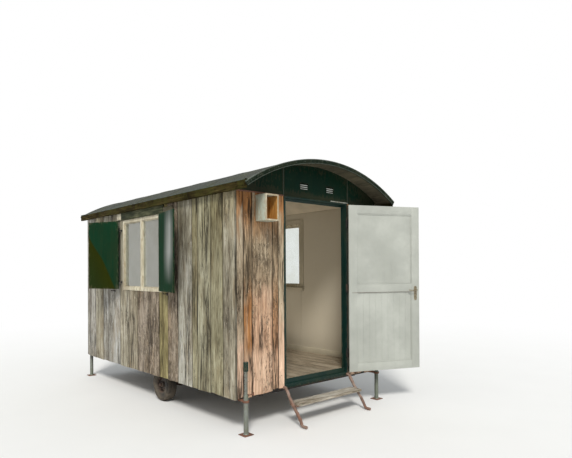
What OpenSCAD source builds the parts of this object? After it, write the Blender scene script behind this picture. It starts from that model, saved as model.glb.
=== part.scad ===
// Shepherds hut: a single-axle wagon hut with an arched roof, an outward opening door and
// shuttered side windows. Modelled at rest with the door and the shutters open.

/* [Cabin] */
// Width over the side boards
hut_w = 2200; // [2000:10:2500]
// Length over the end boards
hut_l = 3780; // [3400:10:4600]
// Height of the floor's walking surface above the ground
floor_z = 438; // [435:1:480]
// Thickness of the floor deck
floor_t = 28; // [20:1:32]
// Thickness of the outer boards
board_t = 20; // [14:1:28]
// Thickness of the framed and lined wall behind the outer boards
core_t = 40; // [34:1:70]
// Height of the lower edge of the outer boards
skirt_z = 342; // [335:1:350]

/* [Roof] */
// Height of the roof's crown
crown_z = 2780; // [2740:5:2900]
// Rise of the arch from its eaves to its crown
roof_rise = 345; // [320:5:370]
// How far the roof stands out past the side boards
eave_over = 50; // [40:1:80]
// How far the roof stands out past the front boards
front_over = 250; // [180:5:320]
// How far the roof stands out past the rear boards
rear_over = 140; // [130:5:200]
// Thickness of the roof covering
cover_t = 4; // [3:0.5:8]
// Thickness of the roof boards
roof_board_t = 18; // [15:1:24]
// Depth of the roof bows
bow_h = 40; // [30:1:50]
// Width of each roof bow
bow_w = 45; // [30:1:60]
// Number of roof bows
bow_count = 5; // [4:1:7]
// Thickness of the ceiling boards
ceiling_t = 9; // [6:1:12]
// Thickness of the boards along the eaves
fascia_t = 25; // [20:1:30]
// Height of the boards along the eaves
fascia_h = 85; // [75:1:90]
// Height of the lower edge of the eave boards
fascia_z = 2380; // [2378:1:2386]
// Thickness of the arched rims at the roof's ends
rim_t = 20; // [14:1:26]
// Depth of the arched rims
rim_h = 40; // [34:1:55]

/* [Door] */
// Clear width of the doorway
door_w = 921; // [800:1:960]
// Clear height of the doorway
door_h = 1910; // [1860:1:1912]
// Middle of the doorway, to the right of the hut's middle
door_x = 48; // [0:1:70]
// Width of the door posts
post_w = 45; // [40:1:60]
// Height of the door head
head_h = 50; // [46:1:56]
// Height of the door sill
sill_h = 88; // [80:1:96]
// Thickness of the door leaf
leaf_t = 45; // [38:1:46]
// How far the leaf laps over the posts
side_lap = 11; // [8:1:14]
// How far the leaf laps over the head
head_lap = 22; // [16:1:22]
// How far the leaf hangs below the floor
sill_lap = 38; // [30:1:38]
// Width of the leaf's side rails
stile_w = 105; // [90:1:120]
// Height of the leaf's cross rails
rail_h = 98; // [80:1:120]
// Depth of the leaf's panels below its rails
panel_dip = 9; // [6:1:12]
// Height of the middle rail above the leaf's lower edge
mid_rail_z = 935; // [850:5:980]
// Opening angle of the leaf in the rest pose
door_open = 155.6; // [120:0.1:160]

/* [Windows and shutters] */
// Width of each window over its frame
win_w = 1070; // [950:1:1150]
// Height of each window over its frame
win_h = 933; // [800:1:1050]
// Distance of the left window from the front
left_win_y = 1445; // [1300:5:1600]
// Distance of the right window from the front
right_win_y = 1300; // [1200:5:1600]
// Width of the window frame's bars
win_bar = 45; // [36:1:55]
// How far the window frames stand out past the boards
win_proud = 6; // [4:1:8]
// Thickness of the glass
glass_t = 4; // [3:0.5:6]
// Height of the boards above the windows
header_h = 105; // [95:1:110]
// Thickness of the boards above the windows
header_t = 22; // [16:1:26]
// Thickness of the shutters
shutter_t = 18; // [14:1:22]
// Opening angle of the shutters nearer the door in the rest pose
near_open = 168; // [150:1:172]
// Opening angle of the shutters farther from the door in the rest pose
far_open = 159; // [140:1:172]

/* [Running gear] */
// Radius of the tyres
tyre_r = 200; // [190:1:201]
// Width of the tyres
tyre_w = 130; // [110:1:140]
// Radius of the rims under the tyres
rim_r = 106; // [98:1:112]
// Distance of the axle from the front
axle_y = 1700; // [1500:10:1950]
// Distance of the wheels' middle planes inward from the side boards' faces
wheel_in = 165; // [155:1:175]
// Radius of the stub axles
stub_r = 15; // [12:1:18]
// Height of the chassis beams
beam_h = 100; // [80:1:110]
// Width of the chassis beams
beam_w = 50; // [40:1:60]
// Distance of the chassis beams' middle planes inward from the side boards' faces
beam_in = 370; // [340:5:400]
// Height of the corner props
prop_h = 712; // [650:1:720]
// Distance of the corner props inward from the side boards' faces
prop_in = 80; // [60:1:120]

/* [Step and box] */
// Height of the step's tread above the ground
tread_z = 230; // [200:1:250]
// Depth of the tread from front to back
tread_d = 165; // [150:1:180]
// Thickness of the tread
tread_t = 25; // [20:1:32]
// Radius of the round step rails
rail_r = 17; // [13:0.5:20]
// Width of the open box on the front wall
box_w = 170; // [150:1:200]
// Depth of the open box
box_d = 160; // [120:1:180]
// Height of the open box
box_h = 265; // [220:1:280]
// Thickness of the box's boards
box_t = 10; // [8:1:14]

/* [Hidden] */
$fn = 48;
arch_fn = 180;
eps = 1;

// Cabin planes, measured from the hut's middle and from the face of the front boards
half_w = hut_w / 2;
core_x = half_w - board_t;
room_x = core_x - core_t;
wall_t = board_t + core_t;
under_z = floor_z - floor_t;

// Roof arch
roof_x = half_w + eave_over;
roof_r = (roof_x * roof_x + roof_rise * roof_rise) / (2 * roof_rise);
roof_cz = crown_z - roof_r;
board_r = roof_r - cover_t;
under_r = board_r - roof_board_t;
bow_r = under_r - bow_h;
ceiling_r = bow_r - ceiling_t;
roof_y0 = -front_over + rim_t;
roof_y1 = hut_l + rear_over - rim_t;
rim_lip = 5;

// Doorway: its leaf lies in a rebate of the posts, head and sill, with a running gap around it
leaf_gap = 6;
door_x0 = door_x - door_w / 2;
door_x1 = door_x + door_w / 2;
frame_x0 = door_x0 - post_w;
frame_x1 = door_x1 + post_w;
door_top = floor_z + door_h;
gable_z = door_top + head_h;
leaf_w = door_w + 2 * side_lap;
leaf_z0 = floor_z - sill_lap;
leaf_z1 = door_top + head_lap;
leaf_h = leaf_z1 - leaf_z0;
leaf_proud = 5;
leaf_back = leaf_t - leaf_proud;
rebate_d = leaf_back + leaf_gap;

// Door hinge: its axis stands clear of the leaf's edge and outer face
pin_off = 8;
pin_r = 3;
knuckle_r = 6;
pin_play = 0.05;
hinge_x = door_x1 + side_lap + pin_off;
hinge_y = -leaf_proud - pin_off;
hinge_h = 100;
hinge_plate = 3;
hinge_leaf = 32;
hinge_inset = 4;
hinge_in = 220;
hinge_zs = [leaf_z0 + hinge_in, (leaf_z0 + leaf_z1) / 2, leaf_z1 - hinge_in];

// Louvred vents in the front gable
vent_w = 110;
vent_h = 65;
vent_up = 92;
vent_z = gable_z + vent_up;
vent_dx = 205;
vent_slats = 4;
slat_w = 22;
slat_t = 3;
slat_y = 16;
slat_tilt = 35;

// Lever handle, placed from the hinge axis
backset = 55;
handle_s = pin_off + leaf_w - backset;
lever_up = 955;
lever_z = leaf_z0 + lever_up;
lever_r = 7;
lever_l = 112;
neck_r = 9;
neck_gap = 4;
neck_out = 42;
spindle_r = 5;
plate_h = 174;
plate_below = 127;
plate_w = 40;
plate_t = 4;
leaf_out = pin_off;
leaf_in = pin_off + leaf_t;

// Windows and shutters
header_tuck = 10;
header_front = 50;
header_rear = 20;
header_z = fascia_z + header_tuck - header_h;
win_z = header_z - win_h;
win_x0 = half_w + win_proud;
shutter_gap = 8;
shutter_in = win_x0 + shutter_gap;
shutter_pin_gap = 4;
shutter_pin_x = shutter_in + shutter_t + shutter_pin_gap;
shutter_edge = 8;
shutter_lift = 14;
shutter_z0 = win_z + shutter_lift;
shutter_z1 = win_z + win_h - shutter_gap;
shutter_meet = 6;
near_pin_dy = -14;
far_pin_gap = 36;
far_pin_dy = win_w + far_pin_gap;
shutter_w = (far_pin_dy - near_pin_dy - shutter_meet) / 2 - shutter_edge;
shutter_pin_r = 4;
shutter_eye_r = 8;
strap_h = 30;
strap_t = 4;
strap_l = shutter_w / 2;
strap_in = 110;
shutter_hinge_zs = [shutter_z0 + strap_in, shutter_z1 - strap_in];
pintle_arm_h = 8;
pintle_arm_w = 12;
pintle_plate_t = 4;
pintle_plate_w = 36;
pintle_plate_lip = 12;

// Running gear
wheel_x = half_w - wheel_in;
beam_x = half_w - beam_in;
prop_x = half_w - prop_in;
axle_z = tyre_r;
axle_bar = 60;
hub_l = 100;
hub_r = 34;
axle_play = 0.5;
stub_shoulder = 35;
stub_end = 20;
shoulder_t = 8;
nut_h = 14;
disc_t = 5;
disc_out = 8;
well_t = 6;
well_in = 18;
tyre_seat = 0.2;
tyre_crown_r = tyre_r * 0.55;
tread_groove = 6;
beam_z = under_z - beam_h;
beam_wall = 6;
cross_w = 50;
outrigger_in = 10;
axle_bay = 420;
cross_y0 = wall_t;
cross_y1 = hut_l - wall_t - cross_w;
prop_y = 60;
prop_r = 17;
prop_sleeve_r = 24;
prop_foot = 110;
prop_foot_t = 8;
prop_sleeve_up = 80;
prop_cap_h = 92;
prop_cap_t = 8;
prop_arm_w = 28;
prop_lever_r = 6;
prop_lever_l = 85;
prop_lever_turn = [78, 0, 52];
prop_gap = 4;

// Step
rail_out = 11;
rail_in = 13;
step_x0 = frame_x0 - rail_out;
step_x1 = frame_x1 - rail_in;
rail_hang = 73;
rail_top_z = floor_z - rail_hang;
rail_top_y = -32;
rail_foot_y = -292;
step_bracket = 45;
step_bracket_d = 120;
step_bar_w = 36;
step_bar_t = 6;
tread_play = 1;
seat_z = tread_z - tread_t - step_bar_t / 2;
tread_y = rail_top_y + (rail_foot_y - rail_top_y) * (rail_top_z - seat_z) / rail_top_z;

// Box on the front wall
box_in = 345;
box_x = -half_w + box_in;
box_drop = 33;
box_z = gable_z - box_drop - box_h;

// The origin lies on the ground under the middle of the hut's bounding box, which the open
// leaf and the open shutters reach out to
far_reach = shutter_pin_x - (shutter_pin_gap + shutter_t) * cos(far_open)
    + (shutter_edge + shutter_w) * sin(far_open);
leaf_reach = hinge_x - (pin_off + leaf_w) * cos(door_open) - leaf_out * sin(door_open);
lever_reach = hinge_y - (handle_s + neck_r) * sin(door_open)
    + (leaf_in + plate_t + neck_out + lever_r) * cos(door_open);
box_x0 = -far_reach;
box_x1 = max(far_reach, leaf_reach);
box_y0 = lever_reach;
box_y1 = hut_l + rear_over;
hut_x = -(box_x0 + box_x1) / 2;
hut_y = -(box_y0 + box_y1) / 2;

// Places children measured from the hut's middle, the face of its front boards and the ground
module hut() translate([hut_x, hut_y, 0]) children();

// A block between two corners
module block(a, b) translate(a) cube(b - a);

// A solid barrel of radius r along the hut, on the roof's centre line
module barrel(r, y0, y1)
    translate([0, y0, roof_cz])
        rotate([-90, 0, 0])
            cylinder(r = r, h = y1 - y0, $fn = arch_fn);

// An arched shell between two radii, as wide as half on either side
module arch(r_in, r_out, half, y0, y1)
    difference() {
        intersection() {
            barrel(r_out, y0, y1);
            block([-half, y0, roof_cz + eps], [half, y1, roof_cz + r_out + eps]);
        }
        barrel(r_in, y0 - eps, y1 + eps);
    }

// A block cut off by the roof's underside
module under_roof(a, b)
    intersection() {
        block(a, [b[0], b[1], crown_z]);
        barrel(under_r, a[1] - eps, b[1] + eps);
    }

// A round bar from one point to another
module bar(a, b, r) {
    d = b - a;
    l = norm(d);
    translate(a)
        rotate([0, acos(d[2] / l), atan2(d[1], d[0])])
            cylinder(r = r, h = l);
}

// The right side mirrors the left one
module side(right) mirror([right ? 1 : 0, 0, 0]) children();

// Chassis: two channel beams, the cross beams between their webs, and an outrigger at each end
module chassis()
    hut() color("dimgray") {
        web_x = beam_x + beam_w / 2;
        for (right = [false, true])
            side(right) {
                translate([-beam_x, cross_y0, beam_z])
                    rotate([90, 0, 0])
                        mirror([0, 0, 1])
                            linear_extrude(cross_y1 + cross_w - cross_y0)
                                channel_outline();
                for (y = [cross_y0, cross_y1])
                    block([-core_x + outrigger_in, y, beam_z + beam_wall],
                        [-web_x, y + cross_w, under_z - beam_wall]);
            }
        for (y = [cross_y0, axle_y - axle_bay, axle_y + axle_bay, cross_y1])
            block([-web_x + beam_wall, y, beam_z + beam_wall],
                [web_x - beam_wall, y + cross_w, under_z - beam_wall]);
    }

module channel_outline()
    difference() {
        translate([-beam_w / 2, 0])
            square([beam_w, beam_h]);
        translate([-beam_w / 2 + beam_wall, beam_wall])
            square([beam_w, beam_h - 2 * beam_wall]);
    }

// Axle: a square bar under two spacers, with a shouldered stub and a nut at each end
module axle()
    hut() color("saddlebrown")
        for (s = [-1, 1])
            mirror([s < 0 ? 1 : 0, 0, 0])
                axle_half();

module axle_half() {
    hub_x = wheel_x - hub_l / 2;
    bar_x = hub_x - stub_shoulder;
    block([0, axle_y - axle_bar / 2, axle_z - axle_bar / 2],
        [bar_x, axle_y + axle_bar / 2, axle_z + axle_bar / 2]);
    block([beam_x - beam_w / 2, axle_y - axle_bar / 2, axle_z],
        [beam_x + beam_w / 2, axle_y + axle_bar / 2, beam_z]);
    translate([0, axle_y, axle_z])
        rotate([0, 90, 0]) {
            translate([0, 0, bar_x - eps])
                cylinder(r = stub_r + shoulder_t, h = hub_x - axle_play - bar_x + eps);
            cylinder(r = stub_r, h = wheel_x + hub_l / 2 + stub_end);
            translate([0, 0, wheel_x + hub_l / 2 + axle_play])
                cylinder(r = stub_r + shoulder_t, h = nut_h, $fn = 6);
        }
}

// Wheels
module rim(s)
    hut() color("rosybrown")
        wheel_place(s)
            rotate_extrude()
                difference() {
                    union() {
                        translate([0, -hub_l / 2])
                            square([hub_r, hub_l]);
                        translate([0, disc_out])
                            square([rim_r - well_t / 2, disc_t]);
                        translate([rim_r - well_t, -tyre_w / 2 + well_in])
                            square([well_t, tyre_w - 2 * well_in]);
                    }
                    translate([-eps, -hub_l])
                        square([stub_r + pin_play + eps, 2 * hub_l]);
                }

module tyre(s)
    hut() color("dimgray")
        wheel_place(s)
            rotate_extrude()
                difference() {
                    intersection() {
                        translate([rim_r + tyre_seat, -tyre_w / 2])
                            square([tyre_r - rim_r - tyre_seat, tyre_w]);
                        translate([tyre_r - tyre_crown_r, 0])
                            circle(r = tyre_crown_r);
                    }
                    for (y = [-tyre_w / 6, tyre_w / 6])
                        translate([tyre_r - tread_groove, y - tread_groove / 2])
                            square([2 * tread_groove, tread_groove]);
                }

module wheel_place(s)
    mirror([s < 0 ? 1 : 0, 0, 0])
        translate([wheel_x, axle_y, axle_z])
            rotate([0, 90, 0])
                children();

// Corner prop: a sleeve with a foot plate, an inner tube with its head block, and the clamp
// whose arm reaches back to the chassis
module prop(right, rear)
    hut() color("lightslategray")
        translate([0, rear ? hut_l : 0, 0])
            mirror([0, rear ? 1 : 0, 0])
                side(right)
                    translate([-prop_x, -prop_y, 0])
                        prop_stand();

module prop_stand() {
    clamp_z = beam_z + beam_wall;
    clamp_top = skirt_z - prop_gap;
    block([-prop_foot / 2, -prop_foot / 2, 0], [prop_foot / 2, prop_foot / 2, prop_foot_t]);
    cylinder(r = prop_sleeve_r, h = clamp_z + prop_sleeve_up);
    cylinder(r = prop_r, h = prop_h);
    translate([0, 0, prop_h - prop_cap_h])
        cylinder(r = prop_r + prop_cap_t, h = prop_cap_h);
    translate([0, 0, clamp_z])
        cylinder(r = prop_sleeve_r + prop_cap_t, h = clamp_top - clamp_z);
    block([-prop_arm_w / 2, 0, clamp_z], [prop_arm_w / 2, prop_y + cross_y0, clamp_top]);
    translate([0, 0, clamp_z + prop_sleeve_up - prop_arm_w / 2])
        rotate(prop_lever_turn)
            cylinder(r = prop_lever_r, h = prop_lever_l);
}

// Floor deck, notched for the door sill
module floor_deck()
    hut() color("burlywood")
        difference() {
            block([-core_x, board_t, under_z], [core_x, hut_l - board_t, floor_z]);
            block([frame_x0, board_t - eps, under_z - eps], [frame_x1, wall_t, floor_z + eps]);
        }

// Front wall beside the doorway
module front_wall_left()
    hut() color("antiquewhite")
        block([-core_x, board_t, floor_z], [frame_x0, wall_t, gable_z]);

module front_wall_right()
    hut() color("antiquewhite")
        block([frame_x1, board_t, floor_z], [core_x, wall_t, gable_z]);

// Side walls between the end walls, with their window openings
module side_wall(right, win_y)
    hut() color("antiquewhite")
        side(right)
            difference() {
                under_roof([-core_x, wall_t, floor_z], [-room_x, hut_l - wall_t]);
                window_hole(win_y);
            }

module window_hole(win_y)
    block([-half_w - eps, win_y, win_z], [-room_x + eps, win_y + win_w, win_z + win_h]);

module rear_wall()
    hut() color("antiquewhite")
        block([-core_x, hut_l - wall_t, floor_z], [core_x, hut_l - board_t, gable_z]);

// Outer boards
module front_cladding()
    hut() color("tan") {
        block([-core_x, 0, skirt_z], [frame_x0, board_t, gable_z]);
        block([frame_x1, 0, skirt_z], [core_x, board_t, gable_z]);
    }

module side_cladding(right, win_y)
    hut() color("silver")
        side(right)
            difference() {
                under_roof([-half_w, 0, skirt_z], [-core_x, hut_l]);
                window_hole(win_y);
            }

module rear_cladding()
    hut() color("tan")
        block([-core_x, hut_l - board_t, skirt_z], [core_x, hut_l, gable_z]);

// Gables: the front one has two louvred vents
module front_gable()
    hut() color("darkolivegreen") {
        difference() {
            under_roof([-core_x, 0, gable_z], [core_x, wall_t]);
            for (s = [-1, 1])
                block([door_x + s * vent_dx - vent_w / 2, -eps, vent_z],
                    [door_x + s * vent_dx + vent_w / 2, wall_t + eps, vent_z + vent_h]);
        }
        for (s = [-1, 1], i = [0 : vent_slats - 1])
            translate([door_x + s * vent_dx, slat_y, vent_z + (i + 0.5) * vent_h / vent_slats])
                rotate([slat_tilt, 0, 0])
                    cube([vent_w + eps, slat_w, slat_t], center = true);
    }

module rear_gable()
    hut() color("darkolivegreen")
        under_roof([-core_x, hut_l - wall_t, gable_z], [core_x, hut_l]);

// Roof
module roof_bows()
    hut() color("burlywood")
        for (i = [0 : bow_count - 1]) {
            y = wall_t + (hut_l - 2 * wall_t - bow_w) * i / (bow_count - 1);
            arch(bow_r, under_r, room_x, y, y + bow_w);
        }

module roof_boards()
    hut() color("peru")
        arch(under_r, board_r, roof_x - fascia_t, roof_y0, roof_y1);

module roof_covering()
    hut() color("darkslategray")
        arch(board_r, roof_r, roof_x - fascia_t, roof_y0, roof_y1);

module ceiling()
    hut() color("antiquewhite")
        arch(ceiling_r, bow_r, room_x, wall_t, hut_l - wall_t);

module eave_fascias()
    hut() color("darkkhaki")
        for (right = [false, true])
            side(right)
                block([-roof_x, roof_y0, fascia_z],
                    [-roof_x + fascia_t, roof_y1, fascia_z + fascia_h]);

module arch_rims()
    hut() color("olivedrab") {
        arch(roof_r - rim_h, roof_r + rim_lip, roof_x, -front_over, roof_y0);
        arch(roof_r - rim_h, roof_r + rim_lip, roof_x, roof_y1, hut_l + rear_over);
    }

// Door frame and sill, rebated for the leaf
module leaf_rebate()
    block([door_x0 - side_lap - leaf_gap, -eps, leaf_z0 - leaf_gap],
        [door_x1 + side_lap + leaf_gap, rebate_d, leaf_z1 + leaf_gap]);

module door_frame()
    hut() color("darkgreen")
        difference() {
            block([frame_x0, 0, floor_z], [frame_x1, wall_t, gable_z]);
            block([door_x0, -eps, floor_z - eps], [door_x1, wall_t + eps, door_top]);
            leaf_rebate();
        }

module door_sill()
    hut() color("darkgreen")
        difference() {
            block([frame_x0, 0, floor_z - sill_h], [frame_x1, wall_t, floor_z]);
            leaf_rebate();
        }

// Hinges: each pin stands between two fixed knuckles on a plate, and turns in the leaf's eye
module door_hinge_pins()
    hut() color("dimgray")
        for (z = hinge_zs)
            translate([hinge_x, hinge_y, z]) {
                translate([0, 0, -hinge_h / 2])
                    cylinder(r = pin_r, h = hinge_h);
                for (s = [-1, 1])
                    mirror([0, 0, s < 0 ? 1 : 0])
                        translate([0, 0, hinge_h / 6 + axle_play]) {
                            cylinder(r = knuckle_r, h = hinge_h / 3 - axle_play);
                            cube([knuckle_r, -hinge_y, hinge_h / 3 - axle_play]);
                        }
                translate([0, -hinge_y - hinge_plate, -hinge_h / 2])
                    cube([frame_x1 - hinge_x - hinge_inset, hinge_plate, hinge_h]);
            }

// Places children of the leaf, drawn closed and measured from the hinge axis
module leaf_place()
    hut()
        translate([hinge_x, hinge_y, 0])
            rotate([0, 0, door_open])
                children();

module door_leaf()
    color("gainsboro")
        leaf_place() {
            difference() {
                block([-pin_off - leaf_w, leaf_out, leaf_z0], [-pin_off, leaf_in, leaf_z1]);
                for (span = [[rail_h, mid_rail_z], [mid_rail_z + rail_h, leaf_h - rail_h]],
                    side_y = [leaf_in - panel_dip, leaf_out + panel_dip - leaf_t])
                    block([-pin_off - leaf_w + stile_w, side_y, leaf_z0 + span[0]],
                        [-pin_off - stile_w, side_y + leaf_t, leaf_z0 + span[1]]);
                translate([-handle_s, 0, lever_z])
                    rotate([-90, 0, 0])
                        cylinder(r = neck_r + neck_gap, h = leaf_in + eps);
            }
            for (z = hinge_zs)
                translate([0, 0, z - hinge_h / 6])
                    difference() {
                        union() {
                            cylinder(r = knuckle_r, h = hinge_h / 3);
                            translate([-hinge_leaf, pin_off - hinge_plate, 0])
                                cube([hinge_leaf, hinge_plate, hinge_h / 3]);
                        }
                        translate([0, 0, -eps])
                            cylinder(r = pin_r + pin_play, h = hinge_h);
                    }
        }

// Handle plates on both faces of the leaf
module handle_plates()
    color("darkgray")
        leaf_place()
            for (y = [leaf_out - plate_t, leaf_in])
                difference() {
                    block([-handle_s - plate_w / 2, y, lever_z - plate_below],
                        [-handle_s + plate_w / 2, y + plate_t, lever_z + plate_h - plate_below]);
                    translate([-handle_s, y - eps, lever_z])
                        rotate([-90, 0, 0])
                            cylinder(r = neck_r + pin_play, h = plate_t + 2 * eps);
                }

// Lever: two arms on one spindle through the leaf
module door_lever()
    color("darkgray")
        leaf_place()
            translate([-handle_s, 0, lever_z]) {
                y0 = leaf_out - plate_t - neck_out;
                y1 = leaf_in + plate_t + neck_out;
                translate([0, y0, 0])
                    rotate([-90, 0, 0])
                        cylinder(r = spindle_r, h = y1 - y0);
                for (y = [y0, leaf_in - plate_t])
                    translate([0, y, 0])
                        rotate([-90, 0, 0])
                            cylinder(r = neck_r, h = neck_out + 2 * plate_t);
                for (y = [y0, y1])
                    translate([-neck_r, y, 0])
                        rotate([0, 90, 0])
                            cylinder(r = lever_r, h = lever_l + neck_r);
            }

// Window frames with a middle bar, and their panes
module window_frame(right, win_y)
    hut() color("cornsilk")
        side(right)
            difference() {
                block([-win_x0, win_y, win_z], [-room_x, win_y + win_w, win_z + win_h]);
                for (i = [0, 1])
                    window_light(win_y, i, -win_x0 - eps, -room_x + eps);
            }

module window_light(win_y, i, x0, x1) {
    light_w = (win_w - 3 * win_bar) / 2;
    y = win_y + win_bar + i * (light_w + win_bar);
    block([x0, y, win_z + win_bar], [x1, y + light_w, win_z + win_h - win_bar]);
}

module window_glass()
    hut() color("lightcyan", 0.5)
        for (right = [false, true], i = [0, 1])
            side(right)
                window_light(right ? right_win_y : left_win_y, i,
                    -core_x - glass_t / 2, -core_x + glass_t / 2);

module window_headers()
    hut() color("darkgreen")
        for (right = [false, true])
            side(right) {
                y = (right ? right_win_y : left_win_y);
                block([-half_w - header_t, y - header_front, header_z],
                    [-half_w, y + win_w + header_rear, header_z + header_h]);
            }

// Pintles: a plate on the boards, an arm and an upright pin for each shutter eye
module shutter_pins()
    hut() color("dimgray")
        for (right = [false, true], dy = [near_pin_dy, far_pin_dy], z = shutter_hinge_zs)
            side(right)
                translate([-shutter_pin_x, (right ? right_win_y : left_win_y) + dy, z])
                    pintle(dy == near_pin_dy ? -1 : 1);

module pintle(s) {
    wall = shutter_pin_x - half_w;
    arm = pintle_arm_w / 2;
    translate([0, 0, -strap_h / 2 - pintle_arm_h]) {
        cylinder(r = shutter_pin_r, h = strap_h + pintle_arm_h);
        cylinder(r = shutter_eye_r, h = pintle_arm_h - axle_play);
        block([0, -arm, 0], [wall, arm, pintle_arm_h - axle_play]);
        block([wall - pintle_plate_t, min(-arm, s * pintle_plate_w - s * arm), -pintle_plate_lip],
            [wall, max(arm, s * pintle_plate_w - s * arm), pintle_arm_h + pintle_plate_lip]);
    }
}

// Shutter: a flat sheet with two strap hinges, drawn closed and turned open
module shutter(right, far)
    hut() color("darkgreen")
        side(right)
            translate([-shutter_pin_x,
                (right ? right_win_y : left_win_y) + (far ? far_pin_dy : near_pin_dy), 0])
                mirror([0, far ? 1 : 0, 0])
                    rotate([0, 0, far ? far_open : near_open])
                        shutter_leaf();

module shutter_leaf() {
    block([shutter_pin_gap, shutter_edge, shutter_z0],
        [shutter_pin_gap + shutter_t, shutter_edge + shutter_w, shutter_z1]);
    for (z = shutter_hinge_zs)
        translate([0, 0, z - strap_h / 2])
            difference() {
                union() {
                    cylinder(r = shutter_eye_r, h = strap_h);
                    block([shutter_pin_gap - strap_t, 0, 0], [shutter_pin_gap, strap_l, strap_h]);
                }
                translate([0, 0, -eps])
                    cylinder(r = shutter_pin_r + pin_play, h = strap_h + 2 * eps);
            }
}

// Open box on the front wall
module wall_box()
    hut() color("moccasin")
        difference() {
            block([box_x - box_w / 2, -box_d, box_z], [box_x + box_w / 2, 0, box_z + box_h]);
            block([box_x - box_w / 2 + box_t, -box_d - eps, box_z + box_t],
                [box_x + box_w / 2 - box_t, -box_t, box_z + box_h - box_t]);
        }

// Step: two bent rails with a bracket at each and a flat bar between them, and the plank
module step_rails()
    hut() color("saddlebrown")
        difference() {
            union() {
                for (x = [step_x0, step_x1]) {
                    bar([x, 0, rail_top_z], [x, rail_top_y, rail_top_z], rail_r);
                    translate([x, rail_top_y, rail_top_z])
                        sphere(r = rail_r + tread_play);
                    bar([x, rail_top_y, rail_top_z], [x, rail_foot_y, -rail_r], rail_r);
                }
                for (x = [step_x0, step_x1 - step_bracket])
                    block([x, tread_y - step_bracket_d / 2, tread_z - tread_t - step_bar_t],
                        [x + step_bracket, tread_y + step_bracket_d / 2, tread_z - tread_t]);
                block([step_x0, tread_y - step_bar_w / 2, tread_z - tread_t - step_bar_t],
                    [step_x1, tread_y + step_bar_w / 2, tread_z - tread_t]);
            }
            block([step_x0, rail_foot_y, -rail_hang] - [2, 2, 0] * rail_r,
                [step_x1 + 2 * rail_r, 0, 0]);
        }

module step_tread()
    hut() color("lightgray")
        block([step_x0 + rail_r + tread_play, tread_y - tread_d / 2, tread_z - tread_t],
            [step_x1 - rail_r - tread_play, tread_y + tread_d / 2, tread_z]);

chassis();
axle();
prop(false, false);  // front_left_prop
prop(true, false);  // front_right_prop
prop(false, true);  // rear_left_prop
prop(true, true);  // rear_right_prop
floor_deck();  // floor
front_wall_left();
front_wall_right();
side_wall(false, left_win_y);  // left_wall
side_wall(true, right_win_y);  // right_wall
rear_wall();
front_cladding();
side_cladding(false, left_win_y);  // left_cladding
side_cladding(true, right_win_y);  // right_cladding
rear_cladding();
front_gable();
rear_gable();
roof_bows();
roof_boards();
roof_covering();
ceiling();
eave_fascias();
arch_rims();
door_frame();
door_sill();
door_hinge_pins();
window_frame(false, left_win_y);  // left_window_frame
window_frame(true, right_win_y);  // right_window_frame
window_glass();
window_headers();
shutter_pins();
wall_box();
step_rails();
step_tread();
door_leaf();
handle_plates();
door_lever();
shutter(false, false);  // left_near_shutter
shutter(false, true);  // left_far_shutter
shutter(true, false);  // right_near_shutter
shutter(true, true);  // right_far_shutter
tyre(-1);  // left_tyre
rim(-1);  // left_rim
tyre(1);  // right_tyre
rim(1);  // right_rim
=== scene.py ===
"""Looks of the shepherds hut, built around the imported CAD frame."""
from math import asin, cos, pi, radians, sin, sqrt

import bmesh
import bpy
from mathutils import Matrix, Vector, noise


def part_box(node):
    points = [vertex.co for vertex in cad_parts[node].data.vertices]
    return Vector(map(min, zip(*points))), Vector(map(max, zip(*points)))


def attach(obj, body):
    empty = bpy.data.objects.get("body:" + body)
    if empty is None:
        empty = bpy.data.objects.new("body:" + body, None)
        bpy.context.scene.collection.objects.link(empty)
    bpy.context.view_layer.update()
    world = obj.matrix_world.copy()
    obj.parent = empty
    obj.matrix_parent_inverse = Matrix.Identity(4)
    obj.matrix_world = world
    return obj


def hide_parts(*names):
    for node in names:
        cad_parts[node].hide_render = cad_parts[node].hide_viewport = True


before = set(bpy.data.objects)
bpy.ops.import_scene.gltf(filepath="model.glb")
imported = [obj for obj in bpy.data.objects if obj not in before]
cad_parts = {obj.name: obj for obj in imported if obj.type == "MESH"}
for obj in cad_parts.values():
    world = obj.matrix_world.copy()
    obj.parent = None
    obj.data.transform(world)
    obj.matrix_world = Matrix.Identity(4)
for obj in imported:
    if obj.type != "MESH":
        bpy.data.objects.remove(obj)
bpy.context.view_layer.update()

# Hut coordinates: from the hut's middle, the face of its front boards and the ground
HX = (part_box("left_cladding")[0].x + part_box("right_cladding")[1].x) / 2
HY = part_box("front_cladding")[0].y
HUT = Matrix.Translation((HX, HY, 0))
X, Y, Z = Vector((1, 0, 0)), Vector((0, 1, 0)), Vector((0, 0, 1))
SIDES = {"left": -1, "right": 1}

# Walls: half the width and the length over the boards, then the faces of the core and the room
W = 1.1
L = 3.78
BOARD = 0.02
CORE_X = 1.08
ROOM_X = 1.04
WALL = 0.06

# Heights of the floor, the lower ends of the side boards and the foot of the gables
FLOOR = 0.438
SKIRT = 0.342
GABLE_Z = 2.398

# Roof: half its width, the radii of its layers, its overhangs and the felt between the rims
ROOF_X = 1.15
ROOF_R = 2.08917
ROOF_CZ = 2.78 - ROOF_R
UNDER_R = ROOF_R - 0.022
CEILING_R = ROOF_R - 0.071
FRONT_OVER = 0.25
REAR_OVER = 0.14
RIM_T = 0.02
ROOF_Y0, ROOF_Y1 = -FRONT_OVER + RIM_T, L + REAR_OVER - RIM_T

# Door frame and hinge line
FRAME_X0 = -0.4575
FRAME_X1 = 0.5535
HINGE = Vector((0.5275, -0.013, 0))
DOOR_OPEN = radians(155.6)

# Windows, one on each side
WIN_Z0 = 1.352
WIN_Z1 = 2.285
WIN_W = 1.070
WIN_BAR = 0.045
WIN_Y = {"left": 1.445, "right": 1.3}

AXLE_Y = 1.7


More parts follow.
